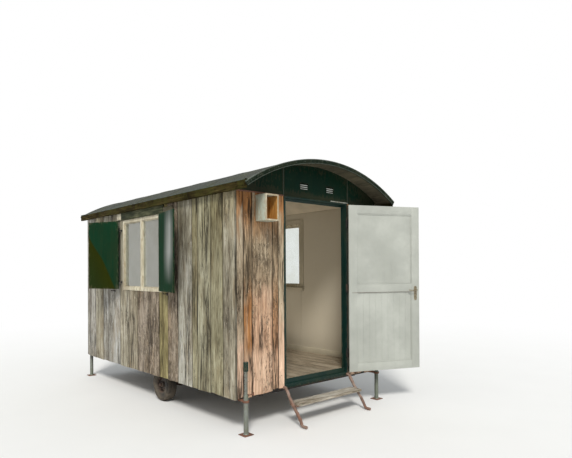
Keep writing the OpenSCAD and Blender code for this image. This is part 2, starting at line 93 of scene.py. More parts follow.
class Nodes:
    """A node tree with short ways to add nodes and sums to it."""

    def __init__(self, tree):
        self.tree = tree

    def node(self, kind, ins=(), **props):
        n = self.tree.nodes.new(kind)
        for k, v in props.items():
            setattr(n, k, v)
        for k, v in dict(ins).items():
            self.put(n.inputs[k], v)
        return n

    def put(self, socket, v):
        if isinstance(v, bpy.types.NodeSocket):
            self.tree.links.new(v, socket)
        elif isinstance(v, (tuple, list)) and len(v) == 3 and len(socket.default_value) == 4:
            socket.default_value = (*v, 1)
        else:
            socket.default_value = v

    def math(self, op, a, b=0.0):
        return self.node("ShaderNodeMath", {0: a, 1: b}, operation=op).outputs[0]

    def add(self, a, b):
        return self.math("ADD", a, b)

    def sub(self, a, b):
        return self.math("SUBTRACT", a, b)

    def mul(self, a, b):
        return self.math("MULTIPLY", a, b)

    def most(self, a, b):
        return self.math("MAXIMUM", a, b)

    def total(self, *parts):
        """Adds values, each times its own weight."""
        out = self.mul(*parts[0])
        for part in parts[1:]:
            out = self.add(out, self.mul(*part))
        return out


class Shader(Nodes):
    """A principled material with short ways to add its textures."""

    def __init__(self, name, rough=0.6, spec=0.5):
        self.mat = bpy.data.materials.new(name)
        self.mat.use_nodes = True
        super().__init__(self.mat.node_tree)
        self.bsdf = self.tree.nodes["Principled BSDF"]
        self.bsdf.inputs["Roughness"].default_value = rough
        self.bsdf.inputs["Specular IOR Level"].default_value = spec
        self.pos = self.node("ShaderNodeTexCoord").outputs["Object"]

    def vec(self, op, a, b):
        return self.node("ShaderNodeVectorMath", {0: a, 1: b}, operation=op).outputs[0]

    def stretch(self, s, v=None):
        return self.vec("MULTIPLY", v or self.pos, s)

    def axis(self, i, v=None):
        return self.node("ShaderNodeSeparateXYZ", {0: v or self.pos}).outputs[i]

    def noise(self, scale, v=None, detail=3.0, rough=0.5, twist=0.0):
        ins = {"Vector": v or self.pos, "Scale": scale, "Detail": detail, "Roughness": rough}
        return self.node("ShaderNodeTexNoise", {**ins, "Distortion": twist}).outputs["Fac"]

    def ramp(self, fac, stops, interp="LINEAR"):
        n = self.node("ShaderNodeValToRGB", {0: fac})
        n.color_ramp.interpolation = interp
        els = n.color_ramp.elements
        while len(els) < len(stops):
            els.new(0.5)
        for e, (at, c) in zip(els, stops):
            e.position = at
            e.color = (c, c, c, 1) if isinstance(c, (int, float)) else (*c, 1)
        return n.outputs[0]

    def rise(self, fac, start, end, top=1.0, low=0.0):
        """Climbs from low to top between start and end."""
        return self.ramp(fac, [(start, low), (end, top)])

    def mix(self, fac, a, b, blend="MIX"):
        n = self.node("ShaderNodeMix", {0: fac, 6: a, 7: b}, data_type="RGBA", blend_type=blend)
        return n.outputs[2]

    def wash(self, fac, c, tint):
        """Tints a colour where fac is high."""
        return self.mix(fac, c, self.mix(1.0, c, tint, "MULTIPLY"))

    def attr(self, name):
        return self.node("ShaderNodeAttribute", attribute_name=name).outputs["Vector"]

    def finish(self, color, gloss, rough, height, strength, distance=0.002):
        """Sets the colour, a roughness that goes from rough[0] to rough[1] with gloss, and the bumps."""
        self.put(self.bsdf.inputs["Base Color"], color)
        if rough:
            self.put(self.bsdf.inputs["Roughness"], self.add(self.mul(gloss, rough[1] - rough[0]), rough[0]))
        n = self.node("ShaderNodeBump", {"Height": height, "Strength": strength, "Distance": distance})
        self.put(self.bsdf.inputs["Normal"], n.outputs[0])
        return self.mat


# How textures are stretched along the grain: fine marks, then patches
GRAIN = {"x": (0.07, 1, 1), "y": (1, 0.07, 1), "z": (1, 1, 0.07)}
PATCH = {"x": (0.25, 1, 1), "y": (1, 0.25, 1), "z": (1, 1, 0.25)}
# Stains are set by the height as a share of this one
STAIN_Z = 3.0


def scaled(color, k):
    return tuple(min(1, v * k) for v in color)


def crack_lines(s, v, scale, width, rough=0.62):
    """Thin jagged lines along the contours of a stretched noise, as cracks along the grain are."""
    d = s.math("ABSOLUTE", s.sub(s.noise(scale, v, 6, rough), 0.5))
    return s.ramp(d, [(0.0, 1.0), (width * 0.45, 0.85), (width, 0.0)])


def mottled(s, c, g, w, worn, share, tones):
    """Dark spots and pale flecks, in patches that spread with the board's own share of spots."""
    small = s.rise(s.noise(46, s.stretch((1, 1, 5), g), 5, 0.75), 0.52, 0.60)
    large = s.rise(s.noise(19, s.stretch((1, 1, 3.5), g), 5, 0.78), 0.50, 0.57, 0.75)
    cloud = s.noise(5.5, s.stretch((1, 1, 1.5), w), 4, 0.6)
    patch = s.rise(s.add(s.mul(s.axis(0, worn), 0.13), cloud), 0.55, 0.67)
    c = s.mix(s.mul(s.most(small, large), s.mul(patch, share)), c, scaled(tones[0], 0.5))
    pale = s.rise(s.noise(38, s.stretch((1, 1, 4), g), 4, 0.7, 0.4), 0.58, 0.66)
    return s.mix(s.mul(pale, s.mul(patch, 0.5)), c, scaled(tones[-1], 1.25))


def wood(name, tones, grain="z", rough=(0.7, 0.95), cracks=0.6, knots=0.5, moss=None, seeded=True, figure=0.2,
         deep=0.5, mottle=0.0, stain=None, spec=0.2):
    """Bare wood: tones, figure, spots, knots and cracks along the grain, under each board's own tint."""
    s = Shader(name, spec=spec)
    p = s.pos
    if seeded:
        p = s.vec("ADD", p, s.vec("MULTIPLY", s.attr("seed"), (37.0, 91.0, 53.0)))
    g = s.stretch(GRAIN[grain], p)
    w = s.stretch(PATCH[grain], p)
    streak = s.noise(52, g, 4, 0.65, 0.3)
    fibre = s.noise(150, g, 4, 0.7)
    body = s.total((s.noise(6, w, 5, 0.62, 0.3), 0.38), (streak, 0.34), (fibre, 0.28))
    c = s.ramp(body, [(0.40 + 0.20 * i / (len(tones) - 1), t) for i, t in enumerate(tones)])
    if stain:
        c = stain(s, c, p)
    veins = [(0.40, 1.0), (0.45, 1 - figure), (0.49, 1.0), (0.57, 1 - figure), (0.60, 1.0)]
    c = s.mix(1.0, c, s.ramp(s.noise(14, g, 3, 0.5, 2.5), veins), "MULTIPLY")
    dark = scaled(tones[0], 0.22)
    if mottle:
        c = mottled(s, c, g, w, s.attr("worn"), mottle, tones)
    cells = {"Vector": s.stretch((2.2, 2.2, 2.2), g), "Scale": 2.1, "Randomness": 1.0}
    near = s.node("ShaderNodeTexVoronoi", cells).outputs["Distance"]
    spot = s.ramp(near, [(0.0, 1.0), (0.045, 0.9), (0.10, 0.25), (0.17, 0.0)])
    c = s.mix(s.mul(spot, knots), c, dark)
    long = s.mul(crack_lines(s, s.stretch((1, 1, 0.8), g), 8, 0.026), s.rise(s.noise(4, w, 3), 0.50, 0.56))
    short = s.mul(crack_lines(s, g, 21, 0.022, 0.7), s.rise(s.noise(7, w, 3), 0.55, 0.62, 0.9))
    crack = s.mul(s.most(long, short), cracks)
    c = s.mix(crack, c, dark)
    if seeded:
        c = s.mix(1.0, c, s.attr("tint"), "MULTIPLY")
    if moss:
        cover = s.rise(s.mul(s.noise(5.5, p, 5, 0.65), s.add(s.noise(40, p, 4), 0.5)), 0.46, 0.62)
        c = s.mix(s.mul(cover, moss[1]), c, moss[0])
    return s.finish(c, fibre, rough, s.sub(s.total((fibre, 0.6), (streak, 0.7)), crack), deep, 0.004)


def side_stain(s, c, p):
    """Green-brown weathering under the eaves, bleached clouds and brown runs."""
    under_eaves = s.rise(s.math("DIVIDE", s.axis(2), STAIN_Z), 0.55, 0.80)
    top = s.mul(under_eaves, s.rise(s.noise(2.2, s.stretch((1, 1, 0.45), p), 4, 0.6), 0.36, 0.60, 0.9, 0.1))
    c = s.wash(top, c, (0.86, 0.82, 0.64))
    bleached = s.rise(s.noise(2.0, s.stretch((1, 1, 0.5), p), 4, 0.6), 0.50, 0.62, 0.8)
    c = s.wash(bleached, c, (1.36, 1.36, 1.40))
    brown = s.rise(s.noise(2.6, s.stretch((1.3, 1.3, 0.4), p), 4, 0.7), 0.53, 0.62, 0.7)
    return s.wash(brown, c, (0.78, 0.69, 0.58))


def front_stain(s, c, p):
    """Old varnish left in orange patches, and paler, pinkish wood low down: painted sunlight on bleached
    wood.
    """
    z = s.math("DIVIDE", s.axis(2), STAIN_Z)
    worn = s.attr("worn")
    fine = s.rise(s.noise(34, s.stretch(GRAIN["z"], p), 4, 0.7), 0.38, 0.62)
    cloud = s.noise(2.4, s.stretch((2.2, 2.2, 0.6), p), 4, 0.65, 0.8)
    level = s.sub(s.add(z, s.mul(s.sub(cloud, 0.5), 0.6)), s.mul(s.axis(0, worn), 0.2))
    # Paler, pinkish wood low down: painted sunlight on bleached wood
    low = s.ramp(level, [(0.17, 1.0), (0.25, 0.65), (0.32, 0.2), (0.42, 0.0)])
    c = s.mix(low, c, s.mix(fine, (0.46, 0.29, 0.20), (0.80, 0.58, 0.43)))
    patch = s.rise(s.noise(2.6, s.stretch((2.8, 2.8, 0.5), p), 4, 0.6, 0.6), 0.36, 0.50)
    strip = s.rise(s.noise(4.0, s.stretch((3.0, 3.0, 0.3), p), 3, 0.6, 0.5), 0.36, 0.50)
    middle = s.mul(s.axis(1, worn), s.ramp(z, [(0.24, 0.0), (0.28, 1.0), (0.42, 1.0), (0.52, 0.0)]))
    orange = s.most(s.mul(s.rise(z, 0.62, 0.74), patch), s.mul(middle, strip))
    return s.mix(orange, c, s.mix(fine, (0.17, 0.068, 0.020), (0.50, 0.25, 0.10)))


def painted_band(s, c, run, point, normal, stops, heights, tone):
    """Painted light: another tone beyond a line across the paint, between two heights if they are given."""
    ins = {0: s.vec("SUBTRACT", s.pos, point), 1: normal}
    d = s.node("ShaderNodeVectorMath", ins, operation="DOT_PRODUCT").outputs["Value"]
    d = s.add(d, s.mul(s.sub(s.noise(1.6, None, 1), 0.5), 0.1))
    lit = s.ramp(s.add(d, 0.5), stops)
    if heights:
        height = s.math("DIVIDE", s.sub(s.axis(2), heights[0]), heights[1] - heights[0])
        level = s.ramp(height, [(0.0, 0.0), (0.45, 1.0), (0.8, 0.8), (1.0, 0.25)])
        lit = s.mul(lit, s.mul(level, s.rise(run, 0.25, 0.6, 1.0, 0.45)))
    return s.mix(lit, c, s.mix(run, tone, scaled(tone, 0.5)))


def paint(name, base, dirt, rough, dirt_share, chips=None, brush=0.15, spec=0.3,
          streaks=(1, 1, 0.12), band=None):
    """Old paint: cloudy fading, dirt in runs, brush marks and worn spots that show what is under it, and
    painted light on one part where a band is given.
    """
    s = Shader(name, spec=spec)
    g = s.stretch(streaks)
    cloud = s.noise(2.2, None, 4, 0.6)
    run = s.noise(11, g, 4, 0.6)
    c = s.mix(s.rise(cloud, 0.35, 0.68), base, scaled(base, 0.72))
    c = s.mix(s.mul(s.rise(s.mul(run, s.add(cloud, 0.5)), 0.42, 0.66), dirt_share), c, dirt)
    if band:
        # A band paints light onto one part of the paint
        c = painted_band(s, c, run, *band)
    if chips:
        edge = s.mul(s.sub(s.node("ShaderNodeNewGeometry").outputs["Pointiness"], 0.5), 2.2)
        bare = s.rise(s.add(s.noise(46, s.stretch((1, 1, 0.35)), 5, 0.7), edge), 0.665, 0.70)
        c = s.mix(s.mul(bare, chips[1]), c, chips[0])
    return s.finish(c, run, rough, s.add(s.mul(s.noise(120, g, 4, 0.6), 0.5), run), brush)


def metal(name, base, rust, share, rough, metallic, dirt=None):
    """Steel: clouded metal under rust patches and specks."""
    s = Shader(name)
    fine = s.noise(140, None, 4, 0.6)
    patches = s.total((s.noise(14, None, 5, 0.65), 0.75), (fine, 0.25))
    m = s.rise(patches, 0.60 - share * 0.3, 0.70 - share * 0.25)
    c = s.mix(s.noise(33, None, 3), base, scaled(base, 0.6))
    c = s.mix(m, c, rust)
    c = s.mix(s.rise(s.noise(60, None, 3), 0.45, 0.75, 0.6), c, scaled(rust, 0.45))
    if dirt:
        c = s.mix(s.rise(s.noise(7, None, 5, 0.6), 0.45, 0.62, dirt[1]), c, dirt[0])
    s.put(s.bsdf.inputs["Metallic"], s.mul(s.sub(1.0, m), metallic))
    return s.finish(c, m, rough, s.add(s.mul(fine, 0.5), m), 0.3, 0.0015)


def lining():
    """Off-white lining boards, near black on the outer faces of the wall core behind the outer boards:
    painted shade seen through the gaps between them.
    """
    s = Shader("lining", spec=0.3)
    fine = s.noise(60, s.stretch((1, 1, 0.2)), 4, 0.6)
    c = s.mix(s.rise(s.noise(1.3, None, 4, 0.6), 0.3, 0.7), (0.55, 0.50, 0.40), (0.51, 0.46, 0.36))
    dull = s.rise(s.noise(6, s.stretch((1, 1, 0.3)), 5, 0.7), 0.55, 0.8)
    c = s.mix(s.mul(dull, 0.2), c, (0.44, 0.37, 0.27))
    across = s.math("ABSOLUTE", s.sub(s.axis(0), HX))
    along = s.math("ABSOLUTE", s.sub(s.axis(1), HY + L / 2))
    # Near black on the core's outer faces: painted shade in the gaps between the outer boards
    outside = s.most(s.math("GREATER_THAN", across, CORE_X - 0.003),
                     s.math("GREATER_THAN", along, L / 2 - BOARD - 0.003))
    return s.finish(s.mix(outside, c, (0.02, 0.017, 0.012)), fine, (0.45, 0.65), fine, 0.08, 0.001)


def felt_cover():
    """Gritty roofing felt with thin moss and a few old leaves."""
    s = Shader("roof_cover", rough=0.9, spec=0.2)
    grit = s.noise(420, None, 3, 0.7)
    tones = [(0.32, (0.020, 0.023, 0.020)), (0.55, (0.060, 0.066, 0.055)), (0.72, (0.13, 0.14, 0.12))]
    c = s.ramp(grit, tones)
    moss = s.rise(s.mul(s.noise(2.4, None, 5, 0.65), s.add(s.noise(24, None, 5, 0.7), 0.45)), 0.47, 0.60)
    c = s.mix(moss, c, s.mix(s.noise(70, None, 3), (0.048, 0.054, 0.032), (0.080, 0.085, 0.054)))
    c = s.mix(s.rise(s.noise(11, None, 6, 0.75), 0.63, 0.68, 0.8), c, (0.09, 0.06, 0.03))
    return s.finish(c, None, None, s.add(grit, s.mul(moss, 1.5)), 0.6)


def rubber():
    s = Shader("tyre", spec=0.3)
    dust = s.rise(s.noise(9, None, 5, 0.7), 0.36, 0.66)
    c = s.mix(dust, (0.018, 0.017, 0.016), (0.14, 0.115, 0.085))
    c = s.mix(s.rise(s.noise(90, None, 4, 0.6), 0.45, 0.7, 0.5), c, (0.06, 0.05, 0.04))
    return s.finish(c, dust, (0.65, 0.90), s.noise(220, None, 4, 0.6), 0.25, 0.001)


def glass():
    s = Shader("glass")
    s.bsdf.inputs["Transmission Weight"].default_value = 0.92
    s.bsdf.inputs["IOR"].default_value = 1.45
    dirt = s.rise(s.noise(4, None, 4, 0.6), 0.40, 0.80)
    c = s.mix(dirt, (0.90, 0.95, 0.92), (0.80, 0.84, 0.77))
    return s.finish(c, dirt, (0.005, 0.015), s.noise(3.5, s.stretch((1, 1, 0.4)), 2), 0.01)


# Bare woods: their tones from dark to light, and how far each of their marks goes
WOODS = {
    "side_boards": dict(
        tones=[(0.10, 0.08, 0.055), (0.19, 0.165, 0.115), (0.29, 0.26, 0.19), (0.38, 0.35, 0.27),
               (0.48, 0.45, 0.37)],
        cracks=0.9, knots=0.6, deep=0.8, mottle=0.8, stain=side_stain),
    "front_boards": dict(
        tones=[(0.12, 0.088, 0.058), (0.22, 0.172, 0.112), (0.33, 0.265, 0.18), (0.43, 0.36, 0.26),
               (0.54, 0.46, 0.35)],
        cracks=0.9, knots=0.9, figure=0.3, deep=0.8, mottle=0.85, stain=front_stain),
    "floor_boards": dict(
        tones=[(0.16, 0.125, 0.085), (0.25, 0.205, 0.145), (0.34, 0.285, 0.205), (0.44, 0.38, 0.29)],
        grain="y", rough=(0.55, 0.75), cracks=0.3, figure=0.25, deep=0.3),
    "roof_wood": dict(
        tones=[(0.05, 0.045, 0.028), (0.09, 0.08, 0.05), (0.15, 0.13, 0.08)],
        grain="y", cracks=0.3, knots=0.3, seeded=False),
    "eave_wood": dict(
        tones=[(0.010, 0.007, 0.003), (0.026, 0.020, 0.007), (0.050, 0.040, 0.015), (0.11, 0.09, 0.04)],
        grain="y", cracks=0.7, knots=0.4, moss=((0.05, 0.05, 0.012), 0.6), deep=0.7, spec=0.03),
    "tread_wood": dict(
        tones=[(0.10, 0.08, 0.055), (0.28, 0.24, 0.18), (0.46, 0.42, 0.35), (0.62, 0.59, 0.52)],
        grain="x", cracks=0.9, knots=0.4, deep=0.6, mottle=0.5),
    "box_ply": dict(
        tones=[(0.38, 0.15, 0.03), (0.56, 0.28, 0.075), (0.68, 0.38, 0.12)],
        rough=(0.5, 0.65), cracks=0.15, knots=0.3, seeded=False, figure=0.4, deep=0.2),
    "header_wood": dict(
        tones=[(0.016, 0.020, 0.011), (0.034, 0.040, 0.022), (0.065, 0.070, 0.038), (0.13, 0.13, 0.075)],
        grain="y", rough=(0.6, 0.8), cracks=0.5, knots=0.2, seeded=False, deep=0.4, spec=0.06),
}

# Paints: colour, dirt, roughness, share of dirt, then what shows in chips, brush marks, shine and streaks
PAINTS = {
    "green_wood": ((0.004, 0.024, 0.019), (0.030, 0.042, 0.024), (0.25, 0.45), 0.35,
                   ((0.10, 0.085, 0.05), 0.4), 0.15, 0.15),
    "green_sheet": ((0.003, 0.020, 0.011), (0.010, 0.022, 0.010), (0.3, 0.5), 0.5,
                    ((0.06, 0.045, 0.025), 0.3), 0.1, 0.04),
    "rim_paint": ((0.007, 0.014, 0.008), (0.030, 0.034, 0.020), (0.5, 0.7), 0.6, ((0.10, 0.11, 0.08), 0.2),
                  0.15, 0.04),
    "cream_wood": ((0.66, 0.61, 0.46), (0.36, 0.30, 0.18), (0.4, 0.6), 0.55, ((0.30, 0.23, 0.14), 0.6)),
    "door_paint": ((0.45, 0.465, 0.42), (0.39, 0.405, 0.36), (0.35, 0.55), 0.5, None, 0.12),
    "inner_trim": ((0.50, 0.45, 0.34), (0.40, 0.35, 0.25), (0.4, 0.55), 0.3),
    # The ceiling's paint is a lighter copy of the lining's off-white: painted light from below
    "lit_ceiling_paint": ((0.74, 0.65, 0.50), (0.62, 0.53, 0.39), (0.5, 0.65), 0.3, None, 0.15, 0.3,
                      (1, 0.12, 1)),
    "box_paint": ((0.52, 0.57, 0.47), (0.40, 0.42, 0.32), (0.4, 0.6), 0.5, ((0.36, 0.24, 0.12), 0.4)),
    # The pale lips in the vents are painted highlight on the slat edges
    "slat_highlight": ((0.72, 0.75, 0.68), (0.45, 0.47, 0.40), (0.4, 0.55), 0.4),
}

# Metals: colour, rust, share of rust, roughness, how metallic they are, and dirt
METALS = {
    "handle_metal": ((0.36, 0.31, 0.21), (0.12, 0.09, 0.055), 0.2, (0.28, 0.5), 0.9),
    "dark_steel": ((0.030, 0.030, 0.028), (0.085, 0.045, 0.025), 0.3, (0.5, 0.8), 0.4),
    "rusty_steel": ((0.12, 0.070, 0.050), (0.19, 0.085, 0.050), 0.85, (0.6, 0.85), 0.3),
    "prop_steel": ((0.24, 0.26, 0.23), (0.17, 0.10, 0.06), 0.2, (0.45, 0.7), 0.4, ((0.12, 0.14, 0.10), 0.8)),
    "rail_steel": ((0.16, 0.10, 0.075), (0.20, 0.10, 0.065), 0.8, (0.7, 0.9), 0.1, ((0.30, 0.24, 0.20), 0.7)),
    "wheel_steel": ((0.055, 0.045, 0.040), (0.12, 0.075, 0.050), 0.5, (0.65, 0.9), 0.2,
                    ((0.15, 0.12, 0.09), 0.7)),
    "dark_rust": ((0.045, 0.032, 0.026), (0.075, 0.040, 0.026), 0.6, (0.65, 0.9), 0.2),
    # The pale metal over the door head is a painted highlight on the drip edge
    "drip_highlight": ((0.40, 0.42, 0.36), (0.17, 0.16, 0.11), 0.35, (0.45, 0.65), 0.1),
    "rim_edge": ((0.070, 0.095, 0.070), (0.04, 0.045, 0.03), 0.4, (0.5, 0.7), 0.1),
    "nails": ((0.06, 0.045, 0.035), (0.09, 0.04, 0.02), 0.7, (0.5, 0.8), 0.5),
}

M = {"lining": lining(), "roof_cover": felt_cover(), "tyre": rubber(), "glass": glass()}
M.update({name: wood(name, **look) for name, look in WOODS.items()})
M.update({name: paint(name, *look) for name, look in PAINTS.items()})
M.update({name: metal(name, *look) for name, look in METALS.items()})


def wave(a, b, c):
    """A smooth random value from about -1 to 1 that only these numbers set."""
    return noise.noise(Vector((a, b, c)))


def turns(sides):
    return [2 * pi * k / sides for k in range(sides)]


def circle(p, a, b, r, sides):
    return [p + (a * cos(t) + b * sin(t)) * r for t in turns(sides)]


def mirrored(half):
    """A profile from half of it, mirrored about the height 0."""
    return half + [(r, -h) for r, h in reversed(half)]


def bars(a0, a1, b0, b1, m):
    """Four bars of width m round an opening: two over the whole length, and two between them."""
    long = [(a0, a0 + m, b0, b1), (a1 - m, a1, b0, b1)]
    return long + [(a0 + m, a1 - m, b0, b0 + m), (a0 + m, a1 - m, b1 - m, b1)]


class Build:
    """One joined mesh. Each shape is stamped with its place, material, seed and tint as it is added."""

    def __init__(self, *mats):
        self.bm = bmesh.new()
        self.mats = mats
        layers = self.bm.faces.layers
        self.mark = layers.int.new("mark")
        self.seed = layers.float.new("seed")
        self.tint = layers.float_vector.new("tint")
        self.worn = layers.float_vector.new("worn")

    def stamp(self, m=None, mat=0, seed=0.0, tint=(1, 1, 1), worn=(0, 0, 0)):
        new = [f for f in self.bm.faces if not f[self.mark]]
        for f in new:
            f[self.mark] = 1
            f.material_index = mat
            f[self.seed] = seed
            f[self.tint] = tint
            f[self.worn] = worn
        if m is not None:
            bmesh.ops.transform(self.bm, matrix=m, verts=list({v for f in new for v in f.verts}))
        return new

    def rows(self, loops):
        return [[self.bm.verts.new(p) for p in loop] for loop in loops]

    def loft(self, loops, **kw):
        """Skins one loop after another and closes both ends."""
        rows = self.rows(loops)
        n = len(rows[0])
        for a, b in zip(rows, rows[1:]):
            for i in range(n):
                j = (i + 1) % n
                self.bm.faces.new((a[i], a[j], b[j], b[i]))
        self.bm.faces.new(rows[0][::-1])
        self.bm.faces.new(rows[-1])
        return self.stamp(**kw)

    def box(self, one, other, r=0.002, segs=2, **kw):
        """A box between two opposite corners, with rounded edges."""
        lo = Vector([min(a, b) for a, b in zip(one, other)])
        hi = Vector([max(a, b) for a, b in zip(one, other)])
        made = bmesh.ops.create_cube(self.bm, size=1.0)["verts"]
        size = hi - lo
        for v in made:
            v.co = Vector([(lo[i] + hi[i]) / 2 + v.co[i] * size[i] for i in range(3)])
        edges = list({e for v in made for e in v.link_edges})
        offset = min(r, min(size) * 0.45)
        bmesh.ops.bevel(self.bm, geom=edges, offset=offset, segments=segs, affect="EDGES", profile=0.5)
        return self.stamp(**kw)

    def tube(self, points, r, sides=14, **kw):
        """A round rod through the points, with one radius or one for each point."""
        pts = [Vector(p) for p in points]
        rs = r if isinstance(r, list) else [r] * len(pts)
        loops = []
        side = None
        for i, p in enumerate(pts):
            d = (pts[min(i + 1, len(pts) - 1)] - pts[max(i - 1, 0)]).normalized()
            if side is None:
                side = d.orthogonal().normalized()
            side = (side - d * side.dot(d)).normalized()
            loops.append(circle(p, side, d.cross(side), rs[i], sides))
        return self.loft(loops, **kw)

    def lathe(self, profile, centre, axis, sides=48, **kw):
        """Turns a closed profile of (radius, height) points around an axis through centre."""
        axis = Vector(axis).normalized()
        a = axis.orthogonal().normalized()
        b = axis.cross(a)
        c = Vector(centre)
        rows = self.rows([[c + axis * h + (a * cos(t) + b * sin(t)) * r for r, h in profile]
                          for t in turns(sides)])
        n = len(profile)
        for k in range(sides):
            p, q = rows[k], rows[(k + 1) % sides]
            for i in range(n):
                j = (i + 1) % n
                self.bm.faces.new((p[i], q[i], q[j], p[j]))
        return self.stamp(**kw)

    def plank(self, o, u, v, n, w, l, t, seed, wane=0.0015, warp=0.0012, edge=0.003, step=0.09,
              ends=(0.0, 0.0), rag=0.0, painted_edge_shade=0.0, tint=(1, 1, 1), **kw):
        """A board w wide along u, l long along v and t thick along n, with uneven edges and ends."""
        o = Vector(o)
        count = max(2, round(l / step))
        loops = []
        for i in range(count + 1):
            at = l * i / count
            x0 = wane * wave(seed * 31.7, at * 2.6, 1.3)
            x1 = w + wane * wave(seed * 17.9, at * 2.6, 7.1)
            d = t + warp * wave(seed * 23.1, at * 1.4, 4.4)
            cup = warp * 0.6 * wave(seed * 5.3, at * 0.7, 2.2)
            prof = [(x0, 0), (x0, d - edge), (x0 + 0.3 * edge, d - 0.3 * edge), (x0 + edge, d),
                    (x0 + (x1 - x0) * 0.25, d + cup * 0.7), ((x0 + x1) / 2, d + cup),
                    (x0 + (x1 - x0) * 0.75, d + cup * 0.7), (x1 - edge, d), (x1 - 0.3 * edge, d - 0.3 * edge),
                    (x1, d - edge), (x1, 0)]
            loop = []
            for a, h in prof:
                s = at
                if i in (0, count):
                    s += ends[0 if i == 0 else 1] * (a / w - 0.5) + rag * wave(a * 23, seed * 3.3, i)
                loop.append(o + u * a + v * s + n * h)
            loops.append(loop)
        new = self.loft(loops, seed=seed, tint=tint, **kw)
        # Faces along the board's long edges take a darker tint: painted shade in the joints between boards
        if painted_edge_shade:
            for f in new:
                a = (f.calc_center_median() - o).dot(u)
                if a < edge * 1.3 or a > w - edge * 1.3:
                    f[self.tint] = tuple(c * painted_edge_shade for c in tint)

    def dome(self, p, n, r=0.0035, h=0.0015, sides=8, **kw):
        """The rounded head of a nail or a bolt."""
        n = Vector(n).normalized()
        a = n.orthogonal().normalized()
        b = n.cross(a)
        p = Vector(p)
        rings = ((r, -0.001), (r, h * 0.4), (r * 0.7, h * 0.9), (r * 0.3, h))
        self.loft([circle(p + n * hh, a, b, rr, sides) for rr, hh in rings], **kw)

    def done(self, name, body, replaces=(), angle=32, place=HUT):
        bmesh.ops.transform(self.bm, matrix=place, verts=self.bm.verts)
        bmesh.ops.recalc_face_normals(self.bm, faces=self.bm.faces)
        self.bm.faces.layers.int.remove(self.mark)
        me = bpy.data.meshes.new(name)
        self.bm.to_mesh(me)
        self.bm.free()
        for m in self.mats:
            me.materials.append(M[m])
        me.shade_smooth()
        me.set_sharp_from_angle(angle=radians(angle))
        o = bpy.data.objects.new(name, me)
        bpy.context.scene.collection.objects.link(o)
        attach(o, body)
        if replaces:
            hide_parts(*replaces)


def bevel_copy(node, name, slot, r=0.003, segs=2, mats=None, pick=None, extra=None):
    """A copy of a CAD node of the hut with its flat faces joined and its sharp edges rounded."""
    b = Build(*(mats or [slot]))
    b.bm.from_mesh(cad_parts[node].data)
    bmesh.ops.remove_doubles(b.bm, verts=b.bm.verts, dist=0.00002)
    bmesh.ops.dissolve_limit(b.bm, angle_limit=radians(0.5), verts=b.bm.verts, edges=b.bm.edges)
    if r:
        sharp = [e for e in b.bm.edges if len(e.link_faces) == 2 and e.calc_face_angle(0) > radians(30)]
        bmesh.ops.bevel(b.bm, geom=sharp, offset=r, segments=segs, affect="EDGES", profile=0.5,
                        clamp_overlap=True)
    bmesh.ops.transform(b.bm, matrix=HUT.inverted(), verts=b.bm.verts)
    b.stamp()
    if pick:
        for f in b.bm.faces:
            f.material_index = pick(f.calc_center_median())
    if extra:
        extra(b)
    b.done(name, "hut", (node,), 35)


def finish_node(node, mat):
    """Gives a CAD node that stays its own material."""
    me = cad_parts[node].data
    if not me.materials:
        me.materials.append(M[mat])
    for i in range(len(me.materials)):
        me.materials[i] = M[mat]


def roof_z(x, r=UNDER_R):
    return ROOF_CZ + sqrt(r * r - x * x)


def arc(a, steps):
    return [-a + 2 * a * i / steps for i in range(steps + 1)]


def on_arc(r, t, y):
    return r * sin(t), y, ROOF_CZ + r * cos(t)


def spans(cuts):
    return list(zip(cuts, cuts[1:]))


# Outer boards: the tint of each kind, how spotted it is, and for the front boards how much varnish is left
TONES = {
    "silver": ((1.30, 1.36, 1.50), 0.0), "pale": ((1.25, 1.32, 1.55), 0.2),
    "beige": ((1.14, 1.14, 1.14), 0.2), "brown": ((0.92, 0.83, 0.82), 1.1),
    "spotted": ((0.96, 0.86, 0.84), 1.9), "dun": ((0.98, 0.93, 0.88), 0.4),
    "olive": ((0.98, 0.92, 0.58), 0.0), "green": ((1.0, 1.02, 0.92), 0.0),
    "dusk": ((0.86, 0.86, 0.72), 0.0),
}
FRONT_TONES = {
    "pink": ((1.02, 1.00, 0.98), 0.0, 0.0), "orange": ((1.0, 0.94, 0.86), 0.3, 1.0),
    "figured": ((1.02, 0.98, 0.92), 1.0, 0.3), "tan": ((1.22, 1.20, 1.16), 0.1, 0.0),
    "brown": ((0.92, 0.84, 0.74), 0.9, 0.6),
}
SEAMS = {
    "left": [0.0, 0.205, 0.43, 0.68, 0.79, 1.09, 1.32, 1.53, 1.79, 2.10, 2.35, 2.62, 3.00, 3.18, 3.46, L],
    "right": [0.0, 0.24, 0.41, 0.66, 0.90, 1.08, 1.37, 1.55, 1.83, 2.06, 2.30, 2.58, 2.80, 3.07, 3.33, 3.55,
              L],
}
BOARD_TONES = {
    "left": ["beige", "dusk", "green", "dusk", "silver", "spotted", "olive", "spotted", "brown", "dun",
             "beige", "pale", "pale", "beige", "pale"],
    "right": ["silver", "dun", "beige", "green", "pale", "brown", "silver", "dusk", "beige", "dun", "silver",
              "olive", "beige", "silver", "dun", "pale"],
}
SEAM_GAP = 0.004
SIDE_NAILS = [0.47, 1.22, 1.90, 2.33]
END_NAILS = [0.50, 1.25, 2.33]
SEED0 = {"left": 0.37, "right": 40.61}


def nail_pair(b, o, u, n, w, zs, seed):
    for k, z in enumerate(zs):
        for s in ((0.22, 0.78) if w > 0.12 else (0.5,)):
            j = 0.006 * wave(seed * 9.1, k * 3.7, s * 5)
            b.dome(o + u * (w * s + j) + Z * (z + 2 * j) + n * 0.0005, n, 0.0042, 0.0016, mat=1)


